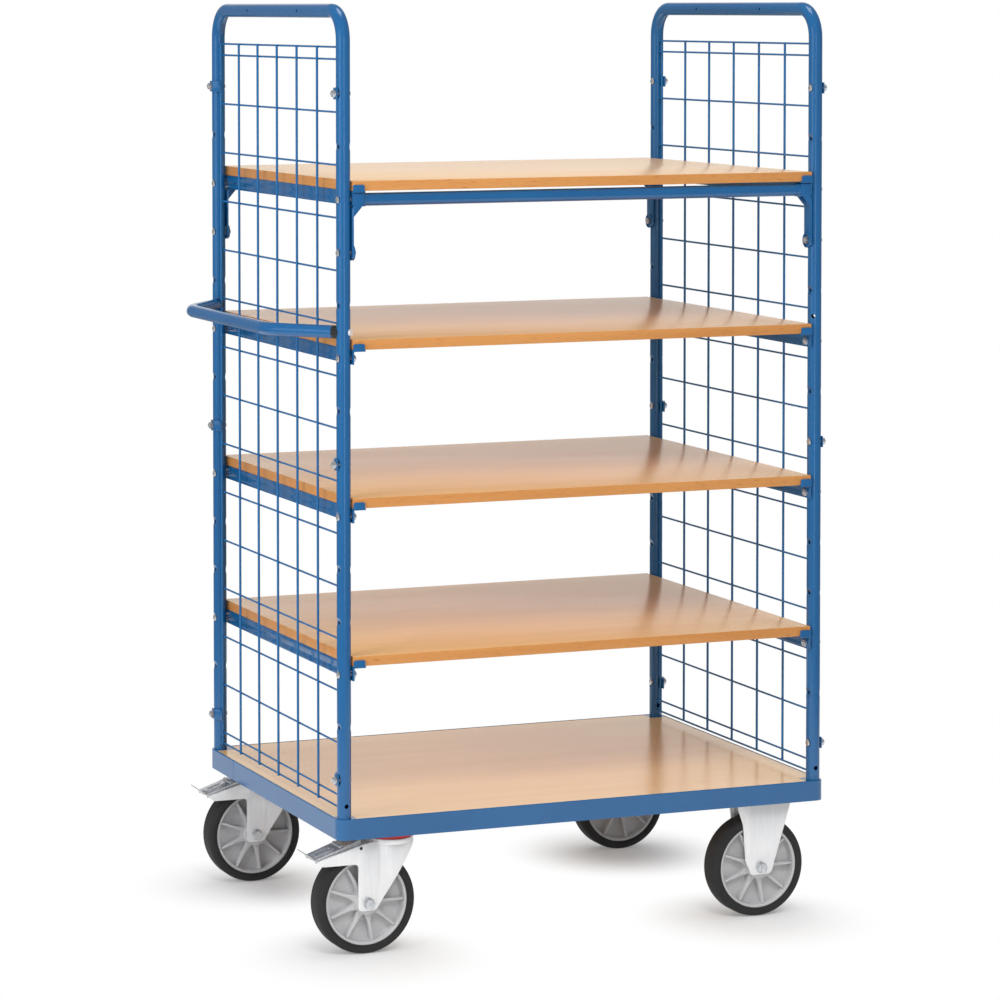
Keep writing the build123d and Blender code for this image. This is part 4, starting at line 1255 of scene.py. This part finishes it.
# %% Axle bolts
AXLE_FLATS, AXLE_HEAD, AXLE_NUT, AXLE_SHANK, AXLE_TAIL = 19.0, 8.0, 10.0, 11.9, 3.0
AXLE_TURNED, AXLE_TIP, AXLE_SHORT = 1.5, 1.4, 2.0
WASHER_D, WASHER_THICK, WASHER_SHOWN, WASHER_TIP = 21.0, 1.2, 0.8, 0.3


def axle_bolt(points):
    """Head, washer face, shank and nut of one axle."""
    middle, size, axis = lie_of(points, True)
    half = size[axis] / MM / 2
    seat, nut = half - AXLE_HEAD, AXLE_TAIL - half
    one = hex_block(AXLE_FLATS, seat + WASHER_SHOWN, half, AXLE_TURNED)
    absorb(one, rod(WASHER_D, seat, seat + WASHER_THICK, WASHER_TIP))
    absorb(one, rod(AXLE_SHANK, -half, half - AXLE_SHORT, AXLE_TIP))
    absorb(one, hex_block(AXLE_FLATS, nut, nut + AXLE_NUT, AXLE_TURNED))
    place_along(one, middle, Vector((0, -1, 0)))
    return one


def joined(groups):
    """Join the solids of each castor's axle, in front of the middle or behind it, into one list."""
    lines = {}
    for points in groups:
        lines.setdefault(points[0].y > 0, []).extend(points)
    return lines.values()


AXLES = [
    ("zinc_fixed_axles", "trolley", "fixed_axle_bolts"),
    ("zinc_swivel_axle_front", "swivel_front", "swivel_axle_bolt_front"),
    ("zinc_swivel_axle_back", "swivel_back", "swivel_axle_bolt_back"),
]
for name, body, node in AXLES:
    bm = bmesh.new()
    for points in joined(islands(node)):
        absorb(bm, axle_bolt(points))
    add_piece(name, bm, body, "zinc", (zinc_bolt,), node)

# %% [markdown]
# ## Small traces of making
#
# Two traces show how the frame was welded: a bead runs up the handle end of the rim where the folded
# strip meets itself, and a small plug weld sits at the foot of each post. Both are painted over. The bead
# is a rounded bar sunk into the rim, and a plug is a flattened ball sunk into its post.

# %% Weld bead and plugs
BEAD_Y, BEAD_HALF, BEAD_PROUD, BEAD_SHORT = 222.0 * MM, 1.3 * MM, 0.45 * MM, 1.6 * MM
rim_low, rim_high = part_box("base_frame")
bm = bmesh.new()
bmesh.ops.create_uvsphere(bm, u_segments=16, v_segments=10, radius=BEAD_HALF)
stretch = 0.5 * (rim_high.z - rim_low.z) - BEAD_SHORT
for vert in bm.verts:
    vert.co.z += math.copysign(stretch - BEAD_HALF, vert.co.z)
bmesh.ops.translate(
    bm, vec=(rim_low.x + BEAD_HALF - BEAD_PROUD, BEAD_Y, (rim_low.z + rim_high.z) / 2), verts=bm.verts
)
add_piece("rim_weld_bead", bm, "trolley", "blue_paint", (blue_paint,))

PLUG_Z, PLUG_R, PLUG_SUNK, PLUG_FLAT = 275.5 * MM, 2.6 * MM, 0.2 * MM, 0.45
bm = bmesh.new()
for x in (middle_of("end_frame_left").x, middle_of("end_frame_right").x):
    for post_side in (corner.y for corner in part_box("end_frame_left")):
        plug = bmesh.new()
        bmesh.ops.create_uvsphere(plug, u_segments=16, v_segments=8, radius=PLUG_R)
        bmesh.ops.scale(plug, vec=(1.0, PLUG_FLAT, 1.0), verts=plug.verts)
        y = post_side - math.copysign(PLUG_SUNK, post_side)
        bmesh.ops.translate(plug, vec=(x, y, PLUG_Z), verts=plug.verts)
        absorb(bm, plug)
add_piece("post_plug_welds", bm, "trolley", "blue_paint", (blue_paint,))
